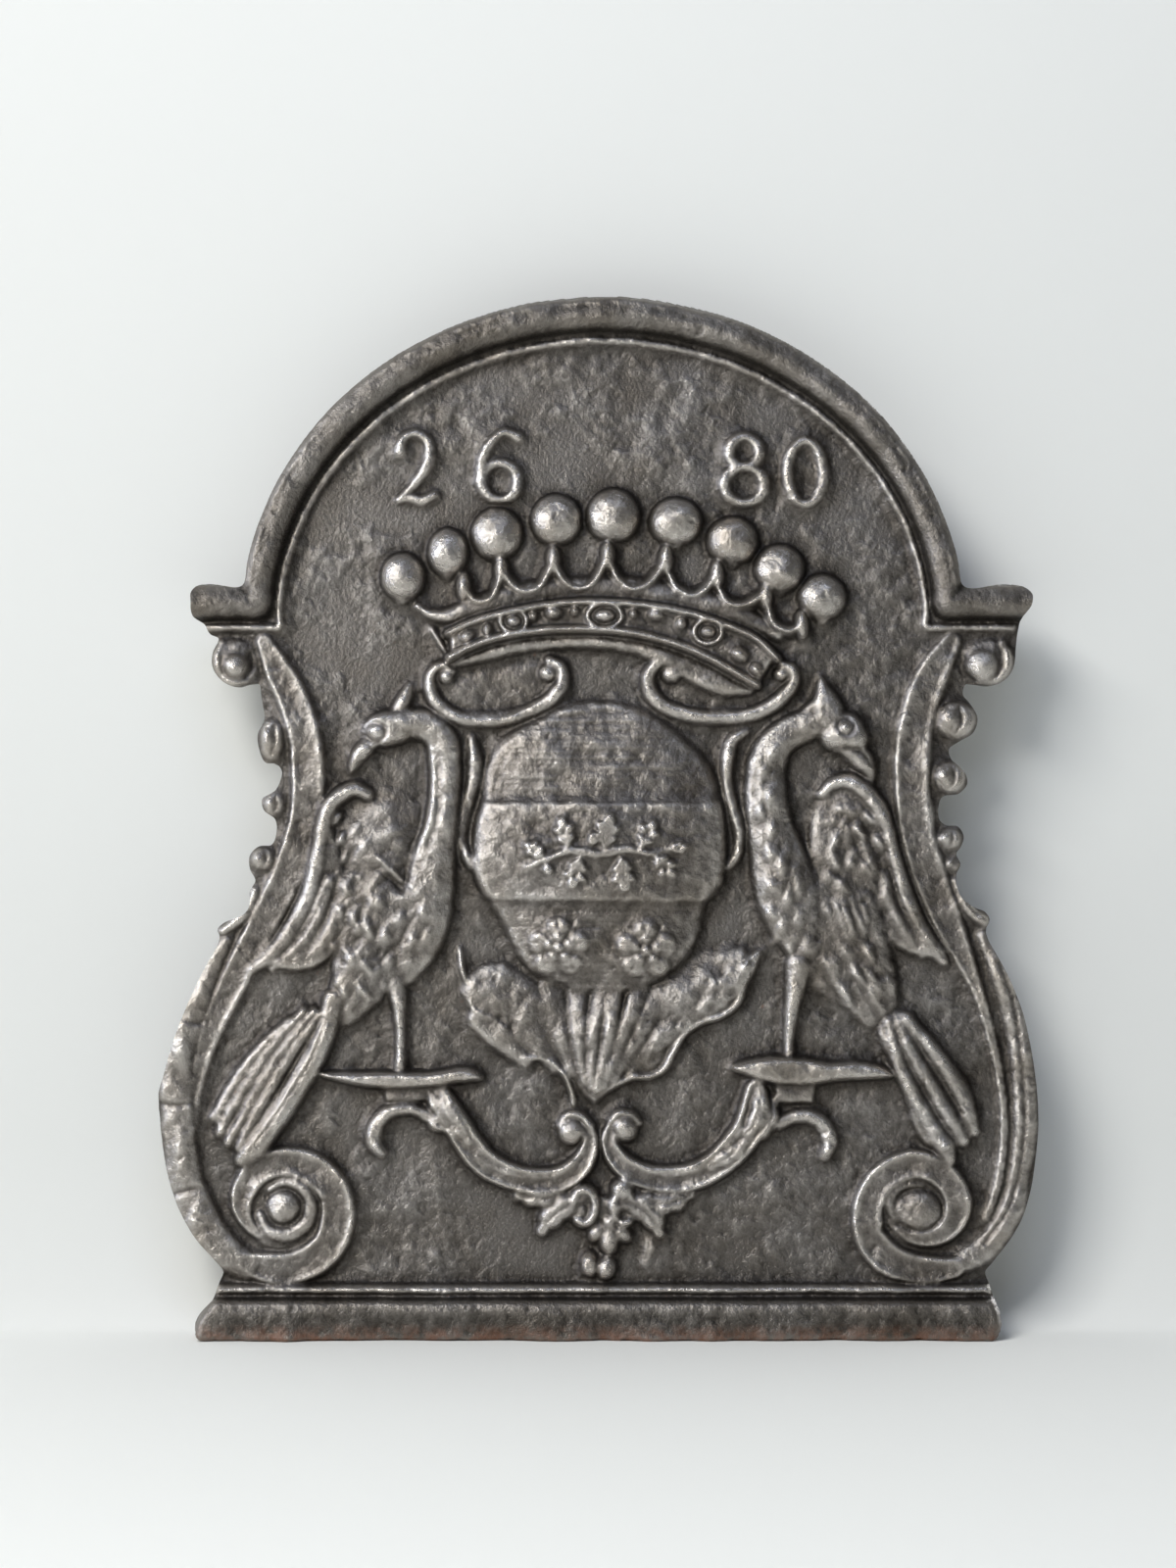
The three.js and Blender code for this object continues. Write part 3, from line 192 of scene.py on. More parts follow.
# ---------------------------------------------------------------- head mouldings
# The big roll round the head, with a rough outer rim and returns across the ears, and the
# thin fillet inside it. On the pattern these were planed strips bent and pinned on.
ARCH = (3.0, 536.5)             # middle of the head's curves
EAR_ROLL, EAR_FILLET = 555.4, 536
ROLL_W, ROLL_H = 12.6, 18.0
FOOT = 0.3                      # share of a carving's height in its sloping foot
FALL = 1.6                      # how steeply the carving ends beyond that foot
SECTION = {
    "round": ([-1, -0.92, -0.8, -0.6, -0.35, 0, 0.35, 0.6, 0.8, 0.92, 1],
              [0, 0.36, 0.59, 0.8, 0.94, 1, 0.94, 0.8, 0.59, 0.36, 0]),
    "flat": ([-1, -0.9, -0.78, 0.78, 0.9, 1], [0, 0.75, 1, 1, 0.75, 0]),
    "dished": ([-1, -0.9, -0.8, -0.62, -0.45, 0, 0.45, 0.62, 0.8, 0.9, 1],
               [0, 0.8, 1, 0.82, 0.66, 0.6, 0.66, 0.82, 1, 0.8, 0]),
    "keen": ([-1, -0.5, -0.12, 0, 0.12, 0.5, 1], [0, 0.42, 0.9, 1, 0.9, 0.42, 0]),
    "roll": ([-1, -0.93, -0.7, -0.35, 0, 0.35, 0.7, 0.92, 1],
             [0, 0.3, 0.7, 0.95, 1, 0.9, 0.7, 0.56, 0.4]),
}
dice = np.random.default_rng(1680)


def smooth_line(rows, closed=False, step=2.5):
    """A smooth line through rows of [x, z, ...], with points about step apart."""
    rows = np.array(rows, float)
    n = len(rows)
    if closed:
        wrapped = np.vstack([rows[-1], rows, rows[:2]])
    else:
        wrapped = np.vstack([2 * rows[0] - rows[1], rows, 2 * rows[-1] - rows[-2]])
    out = []
    for i in range(n if closed else n - 1):
        a, b, c, d = wrapped[i:i + 4]
        before, span, after = (max(np.hypot(*(q - p)[:2]), 1e-6)
                               for p, q in ((a, b), (b, c), (c, d)))
        leave = span * ((b - a) / before - (c - a) / (before + span) + (c - b) / span)
        arrive = span * ((c - b) / span - (d - b) / (span + after) + (d - c) / after)
        count = max(1, int(round(span / step)))
        for k in range(count):
            t = k / count
            bend = (b * (2 * t ** 3 - 3 * t * t + 1) + leave * (t ** 3 - 2 * t * t + t)
                    + c * (3 * t * t - 2 * t ** 3) + arrive * (t ** 3 - t * t))
            out.append(bend)
    out.append(rows[0] if closed else rows[-1])
    return np.array(out)


def window(low_x, high_x, low_z, high_z, pad=6.0):
    """The stretch of the grid that holds a shape."""
    j0, j1 = np.searchsorted(xs, [low_x - pad, high_x + pad])
    i0, i1 = np.searchsorted(zs, [low_z - pad, high_z + pad])
    return slice(max(i0, 0), min(i1 + 1, len(zs))), slice(max(j0, 0), min(j1 + 1, len(xs)))


def blur(field, size):
    """The field softened over size millimetres."""
    pad = int(size / STEP * 4) + 4
    wide = np.pad(field, pad, mode="edge")
    fx = np.fft.fftfreq(wide.shape[1])
    fz = np.fft.fftfreq(wide.shape[0])
    keep = np.exp(-2 * (math.pi * size / STEP) ** 2 * (fx[None, :] ** 2 + fz[:, None] ** 2))
    soft = np.real(np.fft.ifft2(np.fft.fft2(wide) * keep))
    return soft[pad:-pad, pad:-pad]


def unevenness(size):
    """Random swelling and sinking of unit strength, about size millimetres across."""
    field = blur(dice.standard_normal(X.shape), size)
    return field / field.std()


SPREAD = np.clip(4.2 + 1.1 * unevenness(9), 1.8, 7.0)   # how far a carving's foot runs out


def outside(sl, far, tall, foot):
    """The foot of a carving, far millimetres outside its edge: molten iron fills no sharp
    corner, and the founder's wax fillets soften it further."""
    run = np.maximum(SPREAD[sl] * min(1, foot / FOOT), 1e-9)
    return foot * tall * np.clip(1 - far / run, 0, 1) ** 2 - FALL * np.maximum(far - run, 0)


def along(rows, closed=False):
    """Signed place across a line, -1 to 1 at its edges, with its half-width and height."""
    line = smooth_line(rows, closed)
    sl = window(line[:, 0].min(), line[:, 0].max(), line[:, 1].min(), line[:, 1].max(),
                line[:, 2].max() + 6)
    x, z = X[sl], Z[sl]
    across = np.full(x.shape, 9.0)
    sign = np.ones(x.shape)
    wide = np.ones(x.shape)
    tall = np.zeros(x.shape)
    jx, iz = x[0], z[:, 0]
    for a, b in zip(line[:-1], line[1:]):
        reach = max(a[2], b[2]) + 6
        i0, i1 = np.searchsorted(iz, [min(a[1], b[1]) - reach, max(a[1], b[1]) + reach])
        j0, j1 = np.searchsorted(jx, [min(a[0], b[0]) - reach, max(a[0], b[0]) + reach])
        part = (slice(i0, i1), slice(j0, j1))
        dx, dz = b[0] - a[0], b[1] - a[1]
        px, pz = x[part] - a[0], z[part] - a[1]
        t = np.clip((px * dx + pz * dz) / (dx * dx + dz * dz + 1e-12), 0, 1)
        w = a[2] + (b[2] - a[2]) * t
        u = np.hypot(px - t * dx, pz - t * dz) / np.maximum(w, 0.3)
        near = u < across[part]
        across[part] = np.where(near, u, across[part])
        sign[part] = np.where(near, np.sign(dx * pz - dz * px), sign[part])
        wide[part] = np.where(near, w, wide[part])
        tall[part] = np.where(near, a[3] + (b[3] - a[3]) * t, tall[part])
    return sl, across, sign, wide, tall


def raise_to(sl, height):
    """Brings the carving up to the height wherever it is lower."""
    layer[sl] = np.maximum(layer[sl], height)


def rib(rows, form="round", closed=False, low=0.0, foot=FOOT):
    """A carved ridge along rows of [x, z, half-width, height]."""
    sl, u, sign, wide, tall = along(rows, closed)
    base = low[sl] if isinstance(low, np.ndarray) else low
    top = tall * (foot + (1 - foot) * np.interp(np.clip(u, 0, 1) * sign, *SECTION[form]))
    rise = np.where(u > 1, outside(sl, np.maximum(u - 1, 0) * wide, tall, foot), top)
    raise_to(sl, np.where(u > 8, ABOVE, np.maximum(base + rise, ABOVE)))


def vein(rows, form="round", closed=False):
    """A fine ridge, or with a negative height a cut, over what is carved already."""
    sl, u, sign, wide, tall = along(rows, closed)
    layer[sl] += np.where(u < 1, tall * np.interp(np.clip(u, 0, 1) * sign, *SECTION[form]), 0)


def set_on(node, finish, fillet=3.0, edge=0.7):
    """Joins what was just carved to the face as a node, with a small fillet where the two
    meet. The node takes in all that stands more than edge over the face."""
    global face, layer
    rise = layer - face
    cells = (rise[:-1, :-1] + rise[1:, :-1] + rise[:-1, 1:] + rise[1:, 1:]) / 4
    owner[cells > edge] = len(pieces)
    meet = np.clip(1 - np.abs(rise) / fillet, 0, 1) ** 2 * fillet / 4
    face = np.maximum(face, layer) + meet
    layer = np.full_like(X, ABOVE)
    piece(node, finish)


def arch(a, b, start, stop, count):
    turn = np.radians(np.linspace(start, stop, count))
    return [[ARCH[0] + a * math.cos(t), ARCH[1] + b * math.sin(t)] for t in turn]


def straight_through(rows, step=6.0):
    """Rows filled in with straight stretches, so that corners stay sharp."""
    out = []
    for a, b in zip(rows[:-1], rows[1:]):
        count = max(1, int(math.hypot(b[0] - a[0], b[1] - a[1]) / step))
        out += [[a[k] + (b[k] - a[k]) * i / count for k in range(len(a))] for i in range(count)]
    return out + [rows[-1]]


# the outer roll and the plinth take a darker, duller and browner iron than the carvings
dark_dull_iron = cast_iron("dark dull sand-cast iron", "#2a2622", "#504c47", "#8e8983", 0.36, 1.1)
# the carvings were brushed with black lead; the colour makes all that stands up pale, partly
# the shine of the lead and partly painted highlight
leaded_iron = cast_iron("black-leaded sand-cast iron", "#37322d", "#837e79", "#cac5bf", 0.27, 0.9)

crest = arch(262.3, 235.3, 176, 4, 60)
roll = ([[-306.5, EAR_ROLL], [crest[0][0], EAR_ROLL]] + crest[1:-1]
        + [[crest[-1][0], EAR_ROLL], [326, EAR_ROLL]])
rib([[x, z, ROLL_W, ROLL_H] for x, z in straight_through(roll)], "roll")
rib([[x, z, 7, 4.5] for x, z in arch(251, 222.5, 172, 8, 60)])
rim = arch(268.6, 243.6, 172, 8, 90)
vein([[x, z, dice.uniform(1.6, 3.4), dice.uniform(0.2, 2.4)] for x, z in rim])
set_on("arch_moulding", dark_dull_iron)
fillet = arch(244.5, 215.5, 180, 0, 60)
fillet = ([[-294, EAR_FILLET], [fillet[0][0], EAR_FILLET]] + fillet[1:-1]
          + [[fillet[-1][0], EAR_FILLET], [312, EAR_FILLET]])
rib([[x, z, 3.0, 6.0] for x, z in straight_through(fillet)])
set_on("arch_fillet", leaded_iron)

# ---------------------------------------------------------------- foot
# The plinth that the plate stands on and the thin rail over it, planed strips on the pattern.


def inside(loop, x, z):
    """Which points lie inside a closed loop."""
    hit = np.zeros(x.shape, bool)
    for (ax, az), (bx, bz) in zip(loop, np.roll(loop, -1, axis=0)):
        if az == bz:
            continue
        across = (az > z) != (bz > z)
        hit ^= across & (x < (bx - ax) * (z - az) / (bz - az) + ax)
    return hit


def distance(loop, x, z):
    """How far points lie from a closed loop's line."""
    best = np.full(x.shape, 1e9)
    for (ax, az), (bx, bz) in zip(loop, np.roll(loop, -1, axis=0)):
        dx, dz = bx - ax, bz - az
        t = np.clip(((x - ax) * dx + (z - az) * dz) / (dx * dx + dz * dz + 1e-12), 0, 1)
        best = np.minimum(best, np.hypot(x - ax - t * dx, z - az - t * dz))
    return best


def slab(loop, height, bevel=2.0, low=0.0, smooth=False, foot=FOOT):
    """A raised flat of the given outline with a rounded edge."""
    loop = smooth_line(loop, True, 4)[:-1] if smooth else np.array(loop, float)
    sl = window(loop[:, 0].min(), loop[:, 0].max(), loop[:, 1].min(), loop[:, 1].max())
    x, z = X[sl], Z[sl]
    far = distance(loop, x, z)
    within = inside(loop, x, z)
    base = low[sl] if isinstance(low, np.ndarray) else low
    edge = np.sqrt(np.clip(1 - (1 - np.clip(far / bevel, 0, 1)) ** 2, 0, 1))
    rise = np.where(within, height * (foot + (1 - foot) * edge), outside(sl, far, height, foot))
    raise_to(sl, np.maximum(base + rise, ABOVE))


slab([[-303.5, -2], [-304, 11], [-300.5, 19], [-290, 31], [297.5, 31], [302, 20], [303.5, 10],
      [298, -2]], 20, 5.0)
vein([[-300, 25.5, 2.2, -0.9], [0, 26, 2.2, -0.9], [298, 25.5, 2.2, -0.9]])
set_on("plinth", dark_dull_iron)
slab([[-290, 30.5], [-287, 36], [295, 36], [297, 30.5]], 7, 2.0)
slab([[-290, 33.5], [-286.5, 40.5], [294.5, 40.5], [297, 33.5]], 10, 2.4)
set_on("plinth_rail", leaded_iron)

# ---------------------------------------------------------------- side mouldings
# Flat strips with raised rims that sweep down each side, and the swelling leaf along the
# outer edge below them, notched where one leaf laps the next.


def lump(x, z, rx, rz, height, turn=0):
    """A soft swelling, or with a negative height a dent, over what is carved already."""
    reach = max(rx, rz)
    sl = window(x - reach, x + reach, z - reach, z + reach, 1)
    c, s = math.cos(math.radians(turn)), math.sin(math.radians(turn))
    px, pz = X[sl] - x, Z[sl] - z
    u = np.hypot((px * c + pz * s) / rx, (pz * c - px * s) / rz)
    layer[sl] += height * np.clip(1 - u * u, 0, 1) ** 1.5


rib([[-252, 525, 6, 5], [-244, 508, 10, 6], [-234, 490, 12, 6], [-226, 470, 12.8, 6],
     [-221, 450, 13, 6], [-219, 430, 13, 6], [-219, 405, 13, 6], [-223, 380, 13, 6],
     [-231, 356, 13, 6], [-243, 331, 12.5, 6], [-255, 308, 12, 6], [-266, 287, 11.5, 6],
     [-277, 265, 11, 6], [-287, 243, 9.5, 6], [-295, 222, 7.5, 6], [-301, 200, 5.5, 6],
     [-304.5, 180, 4, 5], [-305.5, 160, 3, 4]], "dished")
vein([[-231, 440, 1.8, 1.4], [-231, 400, 1.8, 1.4], [-237, 375, 1.8, 1.4], [-250, 350, 1.8, 1.4],
      [-262, 325, 1.8, 1.4], [-275, 310, 1.8, 1.2]])
set_on("left_strip", leaded_iron)
rib([[267, 526, 7, 5], [257, 510, 11, 6], [249, 494, 13, 6], [243, 476, 13.5, 6],
     [238.5, 456, 14, 6], [236.5, 434, 14, 6], [236.5, 412, 14, 6], [239, 390, 14, 6],
     [244, 368, 14, 6], [251, 346, 14, 6], [259, 325, 13, 6], [267, 306, 11, 6],
     [275, 288, 8, 6], [283, 269, 5.5, 6], [291, 246, 4, 6], [298, 220, 3.5, 6],
     [303, 195, 3, 6], [306, 165, 3, 6], [305, 140, 3, 6], [300, 112, 3, 6],
     [292, 90, 2.5, 4]], "dished")
set_on("right_strip", leaded_iron)
rib([[-281, 300, 4, 5], [-290, 285, 7, 6], [-300, 262, 9, 7.5], [-309, 240, 11, 8],
     [-314, 222, 11, 8], [-319, 200, 12, 8.5], [-319, 180, 12.5, 8.5], [-318, 160, 13, 8.5],
     [-316, 140, 13, 8], [-312, 118, 13.5, 8], [-304, 97, 14, 8], [-293, 78, 13.5, 8],
     [-280, 64, 12.5, 7.5], [-264, 53, 10, 6.5]], "roll")
for x, z, rx, rz, h, tilt in [
        (-299, 262, 7, 14, 1.6, 25), (-312, 212, 8, 20, 1.8, 10), (-315, 140, 8, 18, 1.8, -5),
        (-303, 92, 8, 16, 1.8, -25)]:
    lump(x, z, rx, rz, h, tilt)
for x, z, tilt in [(-303, 238, 5), (-318, 176, 2), (-309, 112, -6)]:
    vein([[x - 15, z + tilt, 1.6, -1.2], [x, z, 2.2, -1.8], [x + 12, z + 2, 1.2, -0.8]])
set_on("left_outer_leaf", leaded_iron)
rib([[289, 304, 4, 5], [299, 283, 7, 6], [307, 263, 8.5, 7], [313, 243, 9, 7], [317, 223, 9, 7],
     [320, 200, 9, 7], [321.5, 175, 9, 7], [321.5, 150, 9, 7], [319, 128, 9, 7], [315, 108, 9, 7],
     [307, 89, 9, 7], [296, 73, 9.5, 7], [283, 62, 9.5, 7], [268, 54, 8, 6]])
vein([[301, 285, 1.6, -1.6], [312, 255, 2, -2], [318, 215, 2, -2], [321, 175, 2, -2],
      [319, 138, 2, -2], [309, 99, 2, -2], [291, 72, 1.6, -1.6]])
set_on("right_outer_leaf", leaded_iron)

# ---------------------------------------------------------------- volutes
# The rolled feet of the side mouldings: a broad band that winds in on a round eye.


def dome(x, z, rx, rz, height, turn=0, low=0.0, soft=0.5, foot=FOOT):
    """A swelling on an oval base; soft below 0.5 gives a flatter top."""
    reach = max(rx, rz) + 2
    sl = window(x - reach, x + reach, z - reach, z + reach)
    c, s = math.cos(math.radians(turn)), math.sin(math.radians(turn))
    px, pz = X[sl] - x, Z[sl] - z
    u = np.hypot((px * c + pz * s) / rx, (pz * c - px * s) / rz)
    base = low[sl] if isinstance(low, np.ndarray) else low
    top = height * (foot + (1 - foot) * np.clip(1 - u * u, 0, 1) ** soft)
    rise = np.where(u > 1, outside(sl, np.maximum(u - 1, 0) * min(rx, rz), height, foot), top)
    raise_to(sl, np.maximum(base + rise, ABOVE))


def ring(x, z, rx, rz, turns, *rest):
    """Points round an oval, one for each angle."""
    return [[x + rx * math.cos(t), z + rz * math.sin(t), *rest] for t in turns]


slab(ring(-236, 98, 32, 32, np.linspace(0, 6.1, 24)), 3, 0.8)
rib([[-264, 57, 8, 7], [-250, 53, 12, 8], [-232, 53, 13, 8], [-214, 60, 13.5, 8],
     [-201, 74, 13.5, 8], [-196.5, 92, 13.5, 8], [-199, 110, 13, 8], [-210, 124, 12.5, 8],
     [-226, 132, 12, 8], [-243, 132, 11.5, 8], [-258, 125, 11, 8], [-267, 112, 10, 8],
     [-269, 98, 7.5, 8], [-264, 86, 5, 7], [-256, 78, 3, 6]], "dished")
rib([[-255, 93, 4, 6], [-250, 83, 5, 7], [-238, 78, 6, 8], [-225, 82, 6, 8], [-217.5, 93, 6, 8],
     [-217.5, 106, 5.5, 8], [-226, 115.5, 5, 8], [-238, 118, 4, 7], [-248, 112, 3, 6]])
dome(-237.5, 99.5, 12.8, 12.8, 10)
set_on("left_volute", leaded_iron)
slab(ring(238, 97, 32, 28, np.linspace(0, 6.1, 24)), 3, 0.8)
rib([[268, 53, 8, 7], [254, 51.5, 10.5, 8], [236, 53, 12, 8], [216, 62, 13, 8],
     [204.5, 78, 12.5, 8], [203, 97, 12, 8], [209, 114, 11.5, 8], [222, 126, 11.5, 8],
     [238, 131, 11.5, 8], [254, 127, 11, 8], [266, 116, 11, 8], [271, 101, 11, 8],
     [268, 88, 9.5, 8], [259, 79, 8, 8], [246, 75, 6, 7], [234, 77, 4.5, 7], [226, 82, 3, 6]],
    "dished")
rib([[223, 90, 3, 5], [219, 100, 4.5, 7], [223, 110, 4.5, 7], [232, 115.5, 4, 7], [244, 116, 3, 6]])
dome(241, 97, 18, 15, 9, soft=0.4)
vein([[216, 83, 4, -3], [218, 81, 3, -2]])
set_on("right_volute", leaded_iron)

# ---------------------------------------------------------------- shoulders and husks
# Small scrolls under the ears, and the string of husks that hangs below each of them.
dome(-274, 509, 16.5, 18, 7)
dome(-273.5, 507, 9.5, 9.5, 13)
rib([[-284, 524, 3, 6], [-287.5, 513, 3.5, 8], [-285, 502, 3.5, 8], [-276, 494.5, 3, 8],
     [-266, 495, 2.5, 6]])
vein([[-263, 517, 2, -2.5], [-261, 506, 2.4, -3], [-266, 498, 2, -2.5]])
set_on("left_shoulder_scroll", leaded_iron)
dome(293, 510, 20, 17, 7)
dome(289.5, 507.5, 12.5, 12.5, 13)
rib([[304, 524, 3, 6], [308.5, 513, 3.5, 8], [306, 502, 3.5, 8], [297, 495.5, 3, 7],
     [286, 495, 2.5, 6]])
vein([[275, 514, 2, -2.5], [275, 503, 2.4, -3], [282, 497, 2, -2.5]])
set_on("right_shoulder_scroll", leaded_iron)
for name, x, z, rx, rz, h in [
        ("left_husk_1", -246.5, 451, 9, 15.5, 8), ("left_husk_2", -245, 402.5, 8, 8.5, 6),
        ("left_husk_3", -253, 361.5, 9, 8.5, 7), ("right_husk_1", 269, 466, 15.5, 14, 9),
        ("right_husk_2", 264.5, 423, 12, 12, 9), ("right_husk_3", 264, 376.5, 9.5, 8, 7),
        ("right_husk_4", 266.5, 357.5, 5, 5, 5)]:
    dome(x, z, rx, rz, h)
    dome(x - rx * 0.35, z + rz * 0.1, rx * 0.45, rz * 0.6, h + 2)
    vein([[x + rx * 0.2, z + rz * 0.7, 1.4, -1.8], [x + rx * 0.3, z, 1.8, -2.4],
          [x, z - rz * 0.7, 1.2, -1.5]])
    set_on(name, leaded_iron)
rib([[-283, 307.5, 3.5, 6], [-273, 314, 4.5, 7], [-263, 325, 4, 6], [-259, 338, 3, 5]])
set_on("left_sprig", leaded_iron)
rib([[290, 315, 4, 7], [281, 321, 4.5, 7], [274, 332, 3.5, 6], [268.5, 345, 2.5, 5]])
set_on("right_sprig", leaded_iron)

# ---------------------------------------------------------------- numerals
# Plain raised numerals in the head, cut with thick and thin strokes and glued to the pattern
# one by one. Each point of a stroke is across, up and how heavy the stroke is there.
PEN, RAISED = 3.4, 6.0      # half-width and height of a stroke
CRISP = 2.4                 # fillet of the finest carvings


def stroke(x, z, w, h, points, closed=False):
    """One stroke of the digit whose box starts at x, z and is w wide and h high."""
    rib([[x + u * w, z + v * h, PEN * heavy, RAISED] for u, v, heavy in points], closed=closed)


def bowl(x, z, w, h, u, v, ru, rv):
    """A round stroke, heavier at its sides, as a broad pen makes it."""
    stroke(x, z, w, h, [(u + ru * math.cos(t), v + rv * math.sin(t), 0.95 + 0.45 * abs(math.cos(t)))
                        for t in np.linspace(0, 2 * math.pi, 15)[:-1]], True)


stroke(-153, 630, 30, 53, [(0.1, 0.74, 1.4), (0.2, 0.92, 1), (0.48, 0.99, 0.95), (0.8, 0.88, 1.25),
                           (0.86, 0.66, 1.4), (0.6, 0.36, 1.2), (0.14, 0.08, 0.9)])
stroke(-153, 630, 30, 53, [
    (0.08, 0.05, 1), (0.35, 0.07, 1.2), (0.66, 0.03, 1.3), (0.97, 0.12, 0.9)])
set_on("numeral_1", leaded_iron, CRISP)
stroke(-93, 631, 37, 54, [(0.88, 0.9, 1.3), (0.6, 0.97, 0.95), (0.3, 0.8, 1.1), (0.13, 0.5, 1.4),
                          (0.12, 0.3, 1.4)])
bowl(-93, 631, 37, 54, 0.5, 0.28, 0.37, 0.26)
set_on("numeral_2", leaded_iron, CRISP)
bowl(91, 629.5, 38, 52, 0.5, 0.75, 0.3, 0.22)
bowl(91, 629.5, 38, 52, 0.5, 0.27, 0.4, 0.26)
set_on("numeral_3", leaded_iron, CRISP)
bowl(139, 628, 34, 50, 0.5, 0.5, 0.4, 0.48)
set_on("numeral_4", leaded_iron, CRISP)

# ---------------------------------------------------------------- coronet
# Jewelled band of a coronet seen from a little above, with loops that carry nine pearls.
# The band and loops were carved in one length of pearwood, the pearls turned.
BAND_TOP = [[-113, 534], [-97, 541.5], [-67, 550], [-30, 556.5], [0, 557.5], [30, 555.5],
            [66, 549.5], [96, 540], [118, 530], [134, 515]]
BAND_FOOT = [[-112, 510], [-101, 516], [-82, 523.5], [-60, 528.5], [-38, 531], [-10, 531.5],
             [14, 530], [38, 526], [62, 519], [86, 508.5], [106, 497], [119, 489.5]]
BAND_LIP = [[-110, 505], [-90, 509], [-60, 516], [-20, 520], [20, 517], [50, 505], [74, 491],
            [94, 484], [116, 485]]
rib([[-137, 552, 2.4, 7], [-127, 546, 3.5, 8], [-113, 545, 6, 9], [-100, 549, 8, 10],
     [-70, 557, 10, 10], [-30, 563, 10, 10], [25, 564, 10, 10], [70, 556, 10, 10],
     [105, 545, 9, 10], [135, 530, 5, 8]])
for u in [[[-101, 567], [-93, 556], [-82, 557], [-76, 568], [-73, 585]],
          [[-72, 583], [-67, 570], [-56, 563], [-45, 566], [-38, 577], [-34, 595]],
          [[-33, 586], [-27, 572], [-15, 565], [-6, 568], [1, 577], [7, 597]],
          [[8, 588], [14, 573], [25, 565], [36, 568], [45, 577], [51, 595]],
          [[52, 578], [60, 564], [71, 560], [82, 566], [89, 583]],
          [[90, 566], [98, 554], [110, 553], [120, 558], [126, 566]],
          [[127, 553], [132, 538], [143, 533], [155, 540]]]:
    rib([[x, z, 3.0 if i in (0, len(u) - 1) else 5.2, 13.5]
         for i, (x, z) in enumerate(u)], "keen")
for x, z in [(-102, 570), (-73.5, 583), (-34, 590), (7, 593), (51, 590), (89.5, 579), (126, 563),
             (153, 541)]:
    dome(x, z - 3, 5.4, 12, 13.5)
rib([[-126, 535, 1.8, 5], [-118, 522, 2, 6], [-111, 510, 1.8, 5]])
set_on("coronet_arcade", leaded_iron, fillet=3.6)
top, foot_line, lip = (smooth_line(rows, step=5) for rows in (BAND_TOP, BAND_FOOT, BAND_LIP))
slab(np.vstack([foot_line, lip[::-1]]), 10, 8)
slab(np.vstack([top, foot_line[::-1]]), 12.5, 3)
rib([[x, z - 2.5, 2.8, 20] for x, z in BAND_TOP], foot=0.5)
rib([[x, z + 3, 3.8, 20.5] for x, z in BAND_FOOT], foot=0.1)
for x, z, rx, rz in [(-64, 540.5, 10, 8.5), (4.4, 544.5, 13, 9), (82, 532.5, 10.5, 9)]:
    rib(ring(x, z, rx, rz, np.linspace(0, 6.28, 13)[:-1], 2.2, 20), closed=True, foot=0.05)
    dome(x, z, rx - 2.6, rz - 2.6, 22, foot=0.05)
for x, z, rx, rz, tilt in [
        (-34, 547, 10, 8, 0), (43, 545, 10, 7.5, -8), (-49, 544.5, 4.5, 6, 0),
        (-18, 548, 4.5, 6, 0), (26, 546, 4.5, 6, 0), (62, 539, 6, 8, 0), (-99, 529, 9, 7, 30),
        (-84, 534, 5, 8, 0), (106, 515, 11, 9, -32), (118, 504, 9, 7, -50)]:
    dome(x, z, rx, rz, 21, tilt, soft=0.8, foot=0.05)
set_on("coronet_band", leaded_iron, fillet=CRISP)
# the pearls stand furthest out; they, the oak branch and the roses take a slightly paler copy
# of the leaded iron, partly the rubbing of years of brushing and partly painted highlight
rubbed_and_lit_iron = cast_iron("black-leaded iron, rubbed, with painted highlight", "#37322d", "#87827d", "#cec9c3",
                        0.26, 0.9)
PEARLS = [(-147.5, 574, 17, 18.5), (-113.5, 592.5, 15.8, 19), (-77, 606.5, 20, 20.5),
          (-32, 617, 19.5, 20), (11, 620, 20.5, 21), (58, 615.5, 20, 18.5), (101, 601, 20, 18.5),
          (136.5, 580, 19.5, 19), (168.5, 558.5, 18.8, 18)]
for i, (x, z, rx, rz) in enumerate(PEARLS):
    dome(x, z - 10, 8, 11, 9)
    dome(x, z, rx, rz, 17, foot=0.04)
    for _ in range(3):
        turn, far = dice.uniform(0, 6.28), dice.uniform(0.3, 0.8)
        lump(x + far * rx * math.cos(turn), z + far * rz * math.sin(turn), 9, 7,
             dice.uniform(-0.8, 0.2), dice.uniform(0, 180))
    set_on("pearl_%d" % (i + 1), rubbed_and_lit_iron, CRISP)

# ---------------------------------------------------------------- straps
# Two C-shaped straps between the coronet and the shield, with curled ends.
slab([[-118, 498], [-110, 476], [-80, 470], [-45, 478], [-30, 496], [-40, 509], [-80, 504],
      [-108, 500]], 1.6, 6, smooth=True)
rib([[-110, 503, 3, 8], [-117, 507.5, 3.5, 9], [-126, 502, 4, 9], [-127, 490, 5, 9],
     [-122, 479, 6, 9], [-112, 470.5, 6.2, 9], [-98, 467, 6.2, 8.5], [-80, 466.5, 6.2, 8.5],
     [-64, 469, 6.2, 8.5], [-48, 475, 6, 9], [-34, 484, 6, 9], [-27, 495, 5.5, 10],
     [-28.5, 506, 4.5, 10], [-37, 511, 4, 9]])
vein([[-118, 484, 1.6, -1.2], [-98, 471, 2, -1.6], [-64, 473, 2, -1.6], [-38, 488, 1.6, -1.2]])
dome(-115, 499, 5.5, 5.5, 10)
dome(-38, 502, 7, 6.5, 10)
set_on("left_strap_scroll", leaded_iron)
slab([[44, 494], [52, 480], [76, 473], [112, 474], [134, 484], [143, 500], [118, 497], [80, 505],
      [54, 508]], 1.6, 6, smooth=True)
